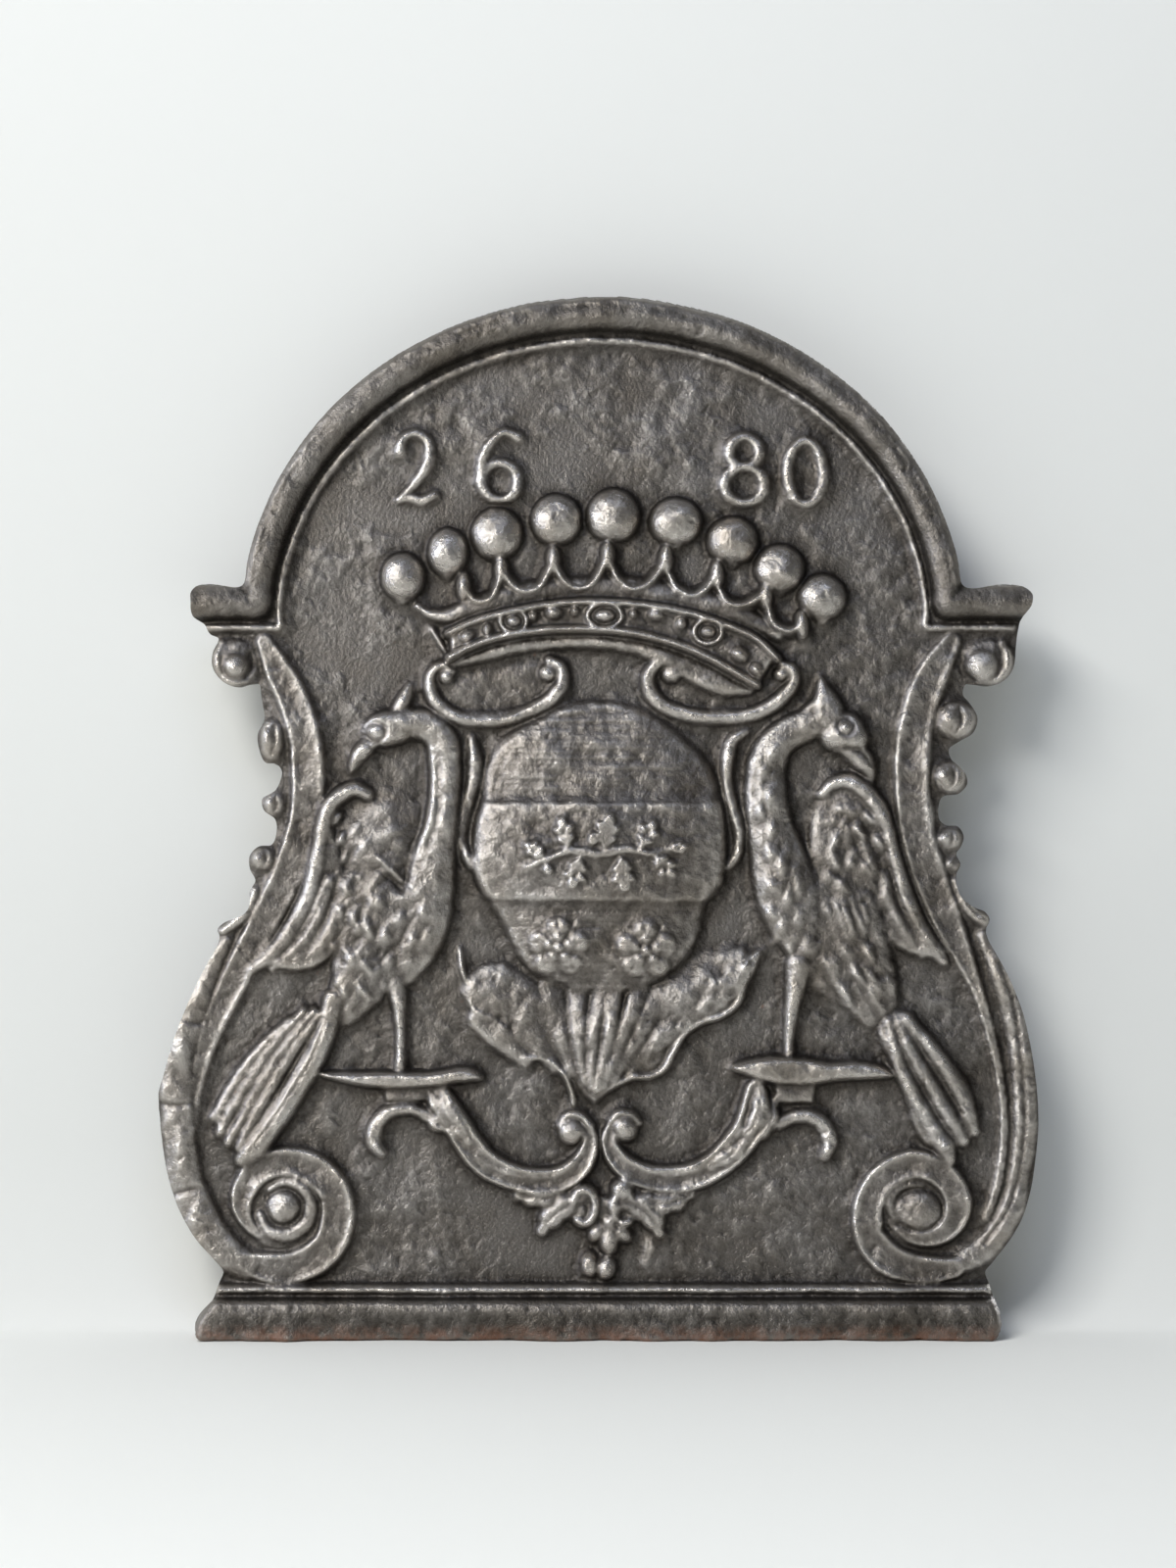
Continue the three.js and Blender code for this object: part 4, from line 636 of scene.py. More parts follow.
rib([[56, 511, 4, 9], [45, 509, 5, 10], [38, 500, 5.5, 10], [39, 488, 6, 9.5], [47, 478, 6.2, 9],
     [61, 472, 6.2, 8.5], [76, 469, 6.2, 8.5], [95, 468.5, 6.2, 8.5], [112, 470, 6.2, 9],
     [127, 475, 6, 9], [139, 484, 5.8, 9.5], [147, 495, 5, 9.5], [145, 505, 4.5, 9],
     [139, 508, 3.5, 8]])
vein([[50, 483, 1.6, -1.2], [76, 474, 2, -1.6], [110, 475, 2, -1.6], [134, 489, 1.6, -1.2]])
dome(55, 501, 8, 7, 10)
dome(138, 501, 6, 5.5, 9)
set_on("right_strap_scroll", leaded_iron)

# ---------------------------------------------------------------- shell
# A loosely pleated shell under the shield, its edge turned over like a torn leaf.


def ragged(loop, turn, length, width, amount):
    """Uneven lumps of about the given length and width, lying at a slant, with creases
    between them, over an area that is carved already."""
    loop = np.array(loop, float)
    fx = np.fft.fftfreq(X.shape[1])[None, :] / STEP
    fz = np.fft.fftfreq(X.shape[0])[:, None] / STEP
    c, s = math.cos(math.radians(turn)), math.sin(math.radians(turn))
    keep = np.exp(-2 * math.pi ** 2 * (((fx * c + fz * s) * length) ** 2
                                       + ((fz * c - fx * s) * width) ** 2))
    grain = np.real(np.fft.ifft2(np.fft.fft2(dice.standard_normal(X.shape)) * keep))
    crease, crest, fade = 0.7, 2.0, 2.5
    grain = np.minimum(np.abs(grain) / grain.std(), crest) - crease
    layer[:] += amount * grain * blur(inside(loop, X, Z).astype(float), fade)


SHELL = [[-103, 272], [-105, 262], [-100, 248], [-85, 238], [-73, 233], [-70, 221], [-62, 214],
         [-46, 211], [-33, 208], [-24, 200], [-17, 188], [-4, 176], [9, 184], [22, 195], [40, 198],
         [50, 205], [58, 220], [68, 235], [85, 241], [100, 250], [108, 266], [119, 286], [108, 296],
         [84, 290], [66, 270], [41, 256], [7, 252], [-30, 258], [-57, 275], [-72, 284], [-90, 282]]
slab(SHELL, 7, 16, foot=0.05)
dome(66, 258, 58, 24, 10, 34, soft=1.0, foot=0)
for turn, start, stop, wide, bold in [
        (50, 46, 104, 5, 7), (60, 34, 106, 5, 9), (69, 26, 104, 4.4, 10), (78, 22, 102, 4.6, 10.5),
        (88, 24, 100, 4.6, 10), (98, 28, 102, 5, 9), (110, 36, 100, 6, 7), (124, 48, 104, 7, 6.5),
        (138, 66, 110, 7, 6)]:
    a, b = math.radians(turn), math.radians(turn + dice.uniform(-5, 5))
    reach = start + (stop - start) * dice.uniform(0.4, 0.6)
    rib([[-6 + start * math.cos(a), 166 + start * math.sin(a), wide * 0.8, bold],
         [-6 + reach * math.cos(a), 166 + reach * math.sin(a), wide * 1.3, bold + 2],
         [-6 + stop * math.cos(b), 166 + stop * math.sin(b), wide * 1.7, 7]], foot=0.6)
rib([[24, 208, 8, 8], [50, 230, 11, 9.5], [72, 248, 13, 10.5], [92, 262, 13, 11], [108, 276, 9, 10],
     [120, 290, 3, 6]])
for x, z, rx, rz, h, tilt in [
        (70, 256, 8, 5, 1.8, 40), (86, 268, 8, 5, 2, 50), (98, 278, 7, 4, 1.6, 60),
        (84, 250, 6, 4, -1.8, 45), (101, 262, 6, 4, -1.8, 55), (60, 240, 6, 4, -1.6, 45),
        (110, 282, 6, 3, 1.4, 65), (44, 226, 6, 3, 1.6, 50), (96, 250, 5, 4, 1.6, 30)]:
    lump(x, z, rx, rz, h, tilt)
rib([[-105, 294, 1.6, 5], [-103, 280, 2.4, 7], [-99, 266, 2, 6]])
rib([[-98, 259, 2, 6], [-94, 248, 2.8, 8], [-84, 243, 2.8, 8], [-74, 237, 2.6, 8],
     [-69, 227, 2.4, 7], [-67, 218, 1.8, 5]])
rib([[-67, 215, 1.8, 5], [-58, 212, 2.6, 8], [-42, 211, 2.8, 8.5], [-32, 206, 2.8, 8.5],
     [-24, 196, 2.6, 8], [-20, 184, 2.2, 7], [-19, 176, 1.8, 6]])
rib([[0, 183, 2.4, 6], [12, 191, 3, 8], [26, 197, 3, 8.5], [40, 198, 3, 8.5], [49, 203, 3, 8.5],
     [56, 216, 3, 9], [66, 231, 3, 9], [78, 239, 3, 9.5], [92, 243, 3, 9.5], [105, 253, 3, 9.5],
     [110, 268, 3, 9.5], [117, 281, 2.6, 8]])
ragged(SHELL, 70, 7.0, 3.2, 0.55)
set_on("shell", leaded_iron)

# ---------------------------------------------------------------- shield
# A swelling oval shield cut with level hatching, a broad band across its middle, an oak
# branch on the band and two roses below it. Thin scrolls run down its sides.


def pillow(loop, middle, rim, crown, soft=3.0, swell=0.5):
    """A swelling plate over an outline that can be seen whole from its middle; a swell near 1
    rises evenly to the middle, a smaller one rises fast at the edge."""
    loop = smooth_line(loop, True, 3)[:-1]
    angle = np.arctan2(loop[:, 1] - middle[1], loop[:, 0] - middle[0])
    order = np.argsort(angle)
    reach = np.hypot(loop[:, 0] - middle[0], loop[:, 1] - middle[1])[order]
    sl = window(loop[:, 0].min(), loop[:, 0].max(), loop[:, 1].min(), loop[:, 1].max())
    px, pz = X[sl] - middle[0], Z[sl] - middle[1]
    edge = np.interp(np.arctan2(pz, px), angle[order], reach, period=2 * math.pi)
    s = np.hypot(px, pz) / edge
    inward = (1 - s) * edge
    top = (rim * np.sqrt(np.clip(inward / soft, 0, 1))
           + (crown - rim) * np.clip(1 - s * s, 0, 1) ** swell)
    rise = np.where(s > 1, outside(sl, np.maximum(-inward, 0), rim, FOOT),
                    np.maximum(top, FOOT * rim))
    raise_to(sl, np.maximum(rise, ABOVE))


HATCHING = 3.9          # spacing of the level cuts
LOW = 0.05              # edge of carvings that lie almost level with the band
SHIELD = [[-90, 405], [-87, 430], [-76, 450], [-52, 467], [-22, 479], [7, 481.5], [38, 473],
          [66, 453], [86, 430], [94, 405], [97, 366], [94, 343], [84, 329], [76, 302], [66, 282],
          [41, 265], [7, 258.5], [-30, 263.5], [-57, 281], [-72, 308], [-84, 329], [-94, 345],
          [-96, 370], [-94, 390]]
SHIELD_MIDDLE = (0, 368)
for rows in [
        [[-96, 452, 3, 5], [-93, 438, 6, 8], [-94, 422, 6, 8], [-98, 406, 5, 7],
         [-102, 390, 4.5, 6], [-103, 374, 4.5, 7], [-97, 359, 4.5, 8], [-92, 352, 3, 6]],
        [[112, 458, 3, 5], [102, 452, 5, 7], [97.5, 440, 5, 8], [97, 422, 4.5, 7],
         [100, 404, 4.5, 7], [105, 388, 5, 8], [106, 374, 4.5, 7], [103, 362, 4, 7],
         [98, 355, 3, 6]]]:
    rib(rows)
    left = rows[0][0] < 0
    x0, side = (-94, 1) if left else (101, -1)
    lump(x0, 438, 4, 9, 1.6, 10 * side)
    lump(x0 - 5 * side, 400, 3, 9, -1.4, 12 * side)
    lump(x0 - 6 * side, 366, 4, 7, 1.6)
    set_on("left_shield_scroll" if left else "right_shield_scroll", leaded_iron)
pillow(SHIELD, SHIELD_MIDDLE, 6, 20, 6.0, 0.8)
for z in np.arange(409, 479, HATCHING):
    half = 84 * math.sqrt(max(0, 1 - ((z - 400) / 84) ** 2)) - 4
    shift = dice.uniform(0, half * 0.5)
    vein([[-half, z, 1.2, -0.7],
          [-half / 3 - shift / 2, z + dice.uniform(-0.7, 0.7), 1.5, -dice.uniform(1.0, 2.2)],
          [half / 3 - shift, z + dice.uniform(-0.7, 0.7), 1.5, -dice.uniform(0.9, 2.0)],
          [half, z, 1.2, -0.5]])
for z in np.arange(268, 329, HATCHING):
    half = 74 * math.sqrt(max(0, 1 - ((z - 334) / 78) ** 2)) - 5
    vein([[-half, z, 1.2, -0.7],
          [dice.uniform(-9, 9), z + dice.uniform(-0.7, 0.7), 1.5, -dice.uniform(0.5, 1.3)],
          [half, z, 1.2, -0.7]])
set_on("shield", leaded_iron)
CROSS_BAND = [[-88, 405], [93, 404], [95, 389], [97, 364], [94.5, 343], [89.5, 332.5], [81, 329.5],
              [-80, 330.5], [-88, 333], [-94, 350], [-96, 370], [-93, 390]]
slab(CROSS_BAND, 3.5, 2.2, low=face.copy())
ragged(CROSS_BAND, 0, 2.2, 1.8, 0.25)
set_on("cross_band", leaded_iron, fillet=2.0)
on_band = face.copy()
slab([[56 * math.cos(t), 366.5 + 28 * math.sin(t)] for t in np.linspace(0, 6.2, 40)], 0.5, 4,
     low=on_band, foot=0.1)
rib([[-54, 356, 1.8, 3], [-40, 361, 2.6, 4.4], [-22, 368, 3.4, 5.2], [0, 365.5, 3.4, 5],
     [22, 369, 3.4, 5.2], [40, 366, 2.8, 4.4], [53, 369, 1.8, 3]], low=on_band, foot=0.1)
for x, z, turn, size in [
        (-38, 362, 146, 0.8), (-22, 367, 104, 1), (4, 367, 80, 1.05), (30, 368, 62, 0.95),
        (-12, 366, -108, 1), (16, 366, -82, 1.05), (40, 367, -48, 0.95), (51, 369, 8, 0.6)]:
    c, s = math.cos(math.radians(turn)), math.sin(math.radians(turn))
    for far, aside, rx, rz, lean in [
            (9, 0, 8, 3.2, 0), (10, 3.6, 4.6, 2.7, 50), (10, -3.6, 4.6, 2.7, -50),
            (17, 4.4, 5, 3, 48), (17, -4.4, 5, 3, -48), (22, 0, 6, 4.4, 0)]:
        dome(x + (far * c - aside * s) * size, z + (far * s + aside * c) * size,
             rx * size, rz * size, 6.2, turn + lean, low=on_band, foot=0.1)
    vein([[x + 3 * c, z + 3 * s, 1, -1], [x + 24 * c * size, z + 24 * s * size, 1, -1.4]])
for x, z in [(-4, 377), (20, 356), (-38, 354)]:
    dome(x, z, 4, 4.8, 7, low=on_band, foot=0.1)
set_on("oak_branch", rubbed_and_lit_iron, CRISP, LOW)
for name, x, z, r in [("left_rose", -30, 295, 25), ("right_rose", 36, 293, 25)]:
    ground = face.copy()
    slab(ring(x, z, r, r, np.linspace(0, 6.1, 28)), 0.5, 3.0, low=ground, foot=0.1)
    for i in range(5):
        a = math.radians(90 + 72 * i + dice.uniform(-5, 5))
        b = a + math.radians(36)
        rib([[x + math.cos(b) * r * 0.4, z + math.sin(b) * r * 0.4, 2.6, 3.4], [
            x + math.cos(b) * r * 0.93, z + math.sin(b) * r * 0.93, 1.2, 2.2]], low=ground,
            foot=0.1)
        for far, wide, high in ((0.6, 0.39, 5.6), (0.33, 0.22, 7)):
            dome(x + math.cos(a) * r * far, z + math.sin(a) * r * far, r * wide, r * wide * 0.86,
                 high, math.degrees(a) + 90, low=ground, foot=0.1)
        lump(x + math.cos(a) * r * 0.7, z + math.sin(a) * r * 0.7, 5, 2.2, -1.5, math.degrees(a))
    dome(x, z, r * 0.2, r * 0.2, 8.4, low=ground, foot=0.1)
    set_on(name, rubbed_and_lit_iron, CRISP, LOW)

# ---------------------------------------------------------------- perches
# Thin scalloped ledges that the birds stand on, each over a small block.
slab([[-164, 191], [-126, 191], [-129, 178], [-161, 178]], 7, 3)
slab([[-211, 199], [-180, 201], [-130, 201], [-90, 200.5], [-87, 197], [-104, 193], [-125, 189.5],
      [-150, 188], [-178, 190], [-200, 195]], 13, 4, smooth=True)
set_on("left_perch", leaded_iron)
slab([[131, 194], [165, 194], [162, 177], [134, 177]], 7, 3)
slab([[100, 205], [112, 210], [138, 213], [156, 211.5], [173, 208.5], [199, 208.5], [216, 204],
      [223, 198.5], [205, 195.5], [180, 194], [160, 191], [140, 191], [120, 195]], 13, 4,
     smooth=True)
set_on("right_perch", leaded_iron)

# ---------------------------------------------------------------- birds
# Two long-necked birds that hold the shield, carved in the round to half their thickness:
# smooth necks, ragged breast feathers, a raised wing, long wing feathers and a rolled tail.
LEFT_BODY = [[-143, 345], [-160, 352], [-178, 358], [-196, 356], [-205, 344], [-205, 326],
             [-204, 305], [-202, 275], [-206, 240], [-192, 234], [-172, 246], [-155, 262],
             [-140, 280], [-118, 305], [-120, 335], [-132, 352]]
dome(-157, 460, 21, 13.5, 14, 12)
dome(-151, 463, 16, 11, 14, 5)
rib([[-169, 452, 6.5, 10], [-177, 444, 6.5, 10], [-183, 436, 5, 8.5], [-186.5, 428, 2.2, 6]])
rib([[-153, 471, 6, 9], [-147.5, 480, 6, 9.5], [-143.5, 492, 3, 6]])
rib([[-148, 464, 11.5, 12], [-131, 462, 12, 13], [-119, 452, 12.5, 13], [-116, 435, 12, 13],
     [-115.5, 415, 12, 13], [-117.5, 395, 12.5, 13], [-121, 375, 14.5, 13], [-125, 355, 17, 14],
     [-128, 335, 19, 14], [-132, 315, 20, 14], [-140, 297, 20, 13], [-150, 281, 17, 11]])
pillow(LEFT_BODY, (-165, 310), 2, 13, 9.0)
dome(-166, 366, 46, 52, 9, 20, soft=1.5, foot=0)
slab([[-196, 372], [-204, 395], [-212, 350], [-226, 318], [-252, 284], [-232, 277], [-205, 284],
      [-190, 320]], 8, 4, smooth=True)
slab([[-200, 254], [-218, 244], [-240, 228], [-266, 198], [-289, 160], [-276, 148], [-262, 136],
      [-225, 195]], 6.5, 4, smooth=True)
ragged([[-203, 345], [-178, 352], [-140, 336], [-124, 318], [-128, 292], [-150, 262], [-178, 244],
        [-204, 240], [-204, 300]], 62, 5.5, 2.6, 1.0)
for x, z, rx, rz, h, tilt in [
        (-196, 324, 9, 5, 3, -60), (-184, 316, 10, 5.5, 3.4, -65), (-173, 309, 10, 5.5, 3.4, -72),
        (-160, 304, 10, 5, 2.8, -80), (-150, 318, 9, 5, 2.2, 70), (-168, 330, 10, 6, 2, -40),
        (-188, 288, 10, 5.5, 3, -66), (-174, 280, 10, 5, 2.8, -60), (-158, 284, 9, 5, 2.6, 60),
        (-192, 262, 9, 5, 2.6, -70), (-176, 260, 9, 4.5, 2.6, -55), (-140, 300, 8, 5, 2.2, 60),
        (-166, 349, 9, 5, 2, 40), (-150, 339, 8, 4, -1.8, -35), (-166, 292, 6, 4, -1.8, 60),
        (-182, 302, 6, 4, -1.8, 70), (-190, 340, 8, 5, 1.8, 80), (-200, 296, 6, 4, 2, -60),
        (-132, 322, 5, 10, 1.4, 20), (-123, 346, 5, 12, 1.2, 8), (-184, 384, 9, 5, 2.2, 60),
        (-176, 372, 10, 5, 2, 50), (-160, 380, 12, 6, 1.6, 30), (-186, 366, 8, 4, -1.6, 60),
        (-162, 366, 7, 4, -1.4, 40), (-150, 372, 8, 5, 1.6, -30)]:
    lump(x, z, rx, rz, h, tilt)
vein([[-176, 362, 1.4, 0.6], [-167, 362, 2, 2], [-156, 353, 2.2, 2.4], [-146, 344, 2, 2.2],
      [-139, 340, 1.4, 1]])
vein([[-173, 357, 1.2, -0.8], [-160, 349, 1.5, -1.8], [-148, 339, 1.2, -1.4]])
vein([[-127, 444, 2.4, 0.8], [-126, 425, 3, 1.8], [-126, 404, 3, 2], [-129, 385, 3.2, 2.2],
      [-138, 368, 3, 2], [-142, 352, 2.2, 1]])
vein([[-121, 440, 2.6, -0.8], [-119, 415, 3, -1.3], [-121, 392, 3, -1.2], [-128, 372, 3, -1.3],
      [-134, 355, 2.4, -0.8]])
rib([[-174, 410, 5, 9], [-184, 414, 6, 11], [-195, 409, 6.5, 12], [-203.5, 399, 6.5, 12],
     [-208, 385, 6.5, 12], [-211, 365, 6.5, 12], [-215, 345, 7.5, 12], [-224, 322, 7.5, 11],
     [-236, 303, 7, 10], [-248, 288, 6.5, 9], [-260, 279, 4, 7]])
for x, z, tilt in [(-197, 392, 60), (-194, 377, 70), (-201, 366, 75), (-192, 362, 60),
                   (-200, 350, 75)]:
    dome(x, z, 6.5, 3.2, 8.5, tilt)
rib([[-203, 345, 6.5, 11], [-210, 325, 7.5, 11], [-221, 304, 7, 10], [-233, 290, 6, 9],
     [-246, 279, 3.5, 6]])
rib([[-194, 330, 6.5, 11], [-200, 312, 7.5, 11], [-209, 297, 7, 10], [-222, 286, 5, 8],
     [-232, 280, 3, 6]])
rib([[-199, 256, 9, 12], [-206, 232, 9, 13], [-215, 212, 10, 14], [-230, 187, 10, 14],
     [-248, 160, 10, 14], [-262, 141, 9, 13], [-269, 135, 6, 10]])
for a, b, high in (((-208, 246), (-271, 144), 12), ((-214, 247), (-279, 148), 11.5),
                   ((-222, 247), (-286, 155), 10.5), ((-232, 240), (-290, 166), 9)):
    rib([[a[0], a[1], 3, high - 2],
         [(a[0] * 2 + b[0]) / 3 - 3, (a[1] * 2 + b[1]) / 3 + 2, 5, high],
         [(a[0] + b[0] * 2) / 3 - 2, (a[1] + b[1] * 2) / 3 + 2, 5.5, high],
         [b[0], b[1], 3.4, high - 3]], foot=0.6)
rib([[-154, 272, 10, 11], [-151, 256, 6.5, 10], [-149.5, 238, 4.4, 9], [-149.5, 214, 4, 8],
     [-149.5, 203, 5, 8]])
for dx, deep in ((-4, 1.2), (1.5, 1.6), (6, 1)):
    vein([[-206 + dx, 240, 1.2, -deep], [-217 + dx, 212, 1.5, -deep], [-232 + dx, 187, 1.6, -deep],
          [-250 + dx, 160, 1.5, -deep], [-264 + dx, 142, 1.2, -deep]])
vein([[-203, 342, 1.3, -1.2], [-212, 322, 1.6, -1.6], [-224, 304, 1.6, -1.6],
      [-240, 288, 1.3, -1.2]])
vein(ring(-168, 457, 7.8, 7.2, np.linspace(0, 6.28, 11)[:-1], 1.7, -2.8), closed=True)
lump(-168, 457, 5.5, 5, 1.6)
lump(-165, 468, 10, 4, 1.6, 12)
vein([[-168, 443, 1.6, -2.2], [-150, 447, 1.6, -2.4], [-132, 448, 1.6, -2]])
vein([[-183, 449, 1.2, -1.4], [-175, 449, 1.4, -2.2], [-168, 444, 1.2, -1.8]])
vein([[-176, 441, 1, -1.2], [-183, 431, 1, -1.4]])
lump(-140, 462, 14, 6, 1.0, -10)
set_on("left_bird", leaded_iron)

RIGHT_BODY = [[166, 408], [178, 418], [190, 420], [203, 412], [214, 398], [221, 383], [225, 362],
              [231, 340], [224, 312], [226, 262], [226, 246], [214, 233], [203, 234], [190, 245],
              [156, 268], [148, 295], [150, 330], [156, 365]]
rib([[167.5, 497, 2, 6], [169.5, 488, 6, 10], [171.5, 478, 11, 13], [173, 469, 14, 14]])
rib([[150, 469, 3, 6], [158, 473, 5, 9], [166, 480, 5, 9]])
dome(183, 457, 18, 16, 15, -14)
dome(192, 452, 11, 11, 14)
rib([[189, 446, 9.5, 11], [198, 437, 8.5, 10], [204, 427, 5.5, 8], [206, 417, 2.4, 5]])
rib([[176, 466, 11, 12], [160, 463, 12, 12], [146, 457, 13, 12], [135, 449, 13.5, 12],
     [128, 436, 15, 12], [126, 418, 15.5, 12], [127, 400, 16.5, 13], [130, 382, 18, 13],
     [135, 363, 21, 14], [142, 342, 25, 14], [149, 320, 24, 13], [157, 300, 18, 11]])
pillow(RIGHT_BODY, (186, 330), 2, 11, 8.0)
slab([[222, 372], [234, 330], [262, 286], [240, 288], [222, 296], [212, 330]], 8, 4, smooth=True)
slab([[212, 238], [228, 248], [250, 228], [284, 168], [274, 146], [256, 142], [224, 200]], 7, 4,
     smooth=True)
ragged([[122, 430], [140, 430], [150, 380], [168, 340], [170, 300], [160, 276], [136, 300],
        [120, 340], [114, 390]], 82, 6.0, 2.8, 0.8)
ragged([[176, 400], [206, 400], [222, 360], [226, 300], [222, 244], [200, 240], [160, 272],
        [170, 330]], -62, 7.0, 3.0, 1.5)
for x, z, rx, rz, h, tilt in [
        (131, 442, 9, 5.5, 2.4, 55), (124, 426, 8, 4.5, 2.4, 75), (128, 410, 9, 5, 2.8, 80),
        (122, 396, 8, 4.5, 2.4, 95), (130, 384, 9, 5, 2.8, 75), (128, 366, 9, 5.5, 2.8, 95),
        (137, 356, 10, 5.5, 2.6, 80), (130, 341, 9, 5.5, 2.8, 85), (141, 332, 9, 5, 2.2, 75),
        (128, 322, 8, 5, 3, 80), (138, 312, 9, 5, 2.8, 70), (132, 300, 7, 4.5, 3, 75),
        (143, 292, 8, 5, 3, 70), (139, 428, 6, 4, -1.4, 80), (117, 410, 6, 4, -1.2, 90),
        (137, 372, 6, 4, -1.6, 80), (121, 352, 6, 4, -1.4, 90), (150, 344, 8, 5, 1.6, 80),
        (152, 316, 9, 5, 2, 80), (156, 296, 9, 5, 2, 80), (208, 390, 12, 5, 3, -40),
        (212, 372, 12, 5.5, 3.4, -55), (206, 354, 12, 5, 3.2, -62), (216, 346, 5, 8, 2, 0),
        (178, 376, 4, 14, 2.6, -20), (190, 362, 5, 12, 2.4, -25), (196, 382, 11, 4.5, 2.4, -30),
        (188, 398, 12, 5, 2.4, -20), (182, 352, 5, 9, -1.4, -20), (198, 340, 7, 4, -1.8, -50),
        (178, 284, 9, 5, 2.4, -75), (194, 276, 10, 5, 2.6, -65), (208, 262, 9, 5, 2.4, -60),
        (186, 260, 9, 5, 2.2, -60), (204, 290, 9, 5, 2.2, -72), (215, 312, 8, 4, 2, -72)]:
    lump(x, z, rx, rz, h, tilt)
for x in (177, 184, 191, 198, 205):
    vein([[x, 334 + dice.uniform(-4, 4), 2, 0.6], [x + 3, 321, 3.2, 1.7],
          [x + 8, 308 + dice.uniform(-5, 3), 2.4, 0.8]])
rib([[168, 410, 4, 7], [178, 418, 5.5, 10], [189, 419.5, 6.5, 12], [200, 413, 7, 12],
     [210, 401, 7, 12], [217, 385, 6.5, 12], [221, 368, 6.5, 12], [226, 350, 7, 12],
     [232, 331, 8, 12], [240, 313, 7.5, 11], [250, 297, 7, 10], [260, 285, 5, 8]])
rib([[213, 350, 5, 11], [220, 327, 6.5, 11], [231, 306, 6.5, 10], [244, 290, 4.5, 7]])
vein([[216, 372, 1.2, -1.2], [223, 342, 1.6, -1.8], [235, 314, 1.6, -1.8], [252, 292, 1.2, -1]])
rib([[151, 282, 11, 11], [147.5, 260, 7.5, 10], [144.5, 238, 5, 9], [143.5, 222, 4.2, 8.5],
     [143.5, 215, 5, 8.5]])
rib([[232, 240, 6, 10], [244, 226, 6.5, 11], [258, 208, 7, 11], [270, 189, 7, 11],
     [279, 170, 6.5, 10], [283, 156, 5, 8]])
rib([[226, 238, 6, 10], [238, 212, 7, 12], [252, 188, 7.5, 12], [265, 166, 7.5, 12],
     [274, 150, 6.5, 9]])
rib([[219, 238, 6, 10], [227, 207, 7, 11], [240, 180, 7.5, 12], [252, 158, 8, 12],
     [262, 143, 8, 12], [265, 135, 5, 9]])
for x, z in [(257, 160), (263, 146), (265, 136), (275, 166)]:
    lump(x, z, 7, 5, 1.6, 30)
vein(ring(186, 461, 6, 5.5, np.linspace(0, 6.28, 11)[:-1], 1.6, -2.4), closed=True)
lump(186, 461, 4.5, 4.5, 1.6)
vein([[172, 443, 1.4, -1.4], [185, 445, 1.6, -2.4], [197, 443, 1.6, -2.4], [206, 433, 1.2, -1.6]])
set_on("right_bird", leaded_iron)

# ---------------------------------------------------------------- brackets
# The pair of scrolled arms that carry the perches and meet at the middle, with torn leaves.


def leaf(rows, lobes, depth=0.25):
    """A lobed leaf along rows of [x, z, half-width, height], creased down its middle."""
    line = smooth_line(rows, step=STEP)
    t = np.linspace(0, 1, len(line))
    line[:, 2] *= 1 + depth * np.cos(2 * math.pi * lobes * t)
    rib(line)
    vein([[x, z, 1.6, -1.6] for x, z, _, _ in rows])


rib([[-119, 190, 5, 9], [-115, 177, 9, 11], [-106, 161, 10.5, 12], [-97, 146, 11, 11],
     [-86, 133, 11, 10.5], [-72, 124.5, 10.5, 10.5], [-58, 120, 10, 10.5], [-44, 118.5, 10, 10.5],
     [-30, 120, 10, 10.5], [-17, 127, 9.5, 11], [-9, 138, 8, 11], [-6, 150, 6, 10],
     [-9, 162, 3.6, 8]], "dished")
vein([[-92, 138, 2, 0.6], [-74, 127, 2, 1.4], [-50, 122, 2, 1.6], [-30, 124, 2, 1.4],
      [-18, 134, 1.6, 1]])
dome(-20.5, 156, 10, 10.5, 13, soft=0.6)
rib([[-30, 160, 2.4, 7], [-24, 168, 3, 8], [-14, 168, 3.2, 9], [-6, 160, 3.4, 9]])
rib([[-112, 166, 6, 9], [-126, 168, 5, 9], [-142, 173, 5, 9], [-155, 172, 5.5, 9],
     [-163, 167, 6, 9], [-168.5, 158, 6.5, 9], [-169, 147, 6.5, 9], [-164, 140, 4.5, 8]])
lump(-166, 143, 6, 6, 2.5)
leaf([[-98, 149, 4, 11], [-106, 161, 8, 13.5], [-113, 175, 7, 14], [-119, 189, 3, 10]], 4, 0.2)
leaf([[-106, 158, 4, 11], [-116, 168, 6.5, 13], [-124, 179, 5, 12], [-128, 189, 2.4, 8]], 3, 0.2)
leaf([[-110, 156, 4, 10], [-122, 163, 6, 11.5], [-133, 168, 3, 8]], 2, 0.2)
set_on("left_bracket", leaded_iron)
rib([[10, 162, 3.6, 8], [7.5, 150, 6, 10], [13, 137, 8, 11], [24, 127, 9.5, 11],
     [40, 121, 10, 10.5], [57, 120, 10.5, 10.5], [74, 123, 11, 10.5], [90, 132, 11.5, 11],
     [103, 144, 12.5, 12], [113, 158, 12.5, 13], [118, 173, 12, 12], [118.5, 188, 8, 10]], "dished")
vein([[24, 133, 1.6, 1], [40, 126, 2, 1.6], [60, 124, 2, 1.6], [80, 130, 2, 1.2]])
dome(20, 158, 10, 10, 13, soft=0.6)
rib([[9, 164, 3, 8], [15, 170, 3, 9], [25, 169, 3, 8], [31, 162, 2.4, 7]])
rib([[120, 160, 6.5, 10], [136, 162, 5.5, 9], [147, 167, 5.5, 9], [160, 167, 6, 9],
     [170, 160, 6.5, 9], [174, 148, 6.5, 9], [171, 138, 5, 8]])
lump(173, 142, 6, 6, 2.5)
leaf([[84, 130, 4, 11], [98, 138, 8, 13.5], [108, 150, 8, 14.5], [114, 164, 4, 12]], 4, 0.2)
leaf([[102, 146, 4, 12], [114, 158, 8, 15], [121, 174, 7, 14.5], [121, 190, 3, 10]], 4, 0.2)
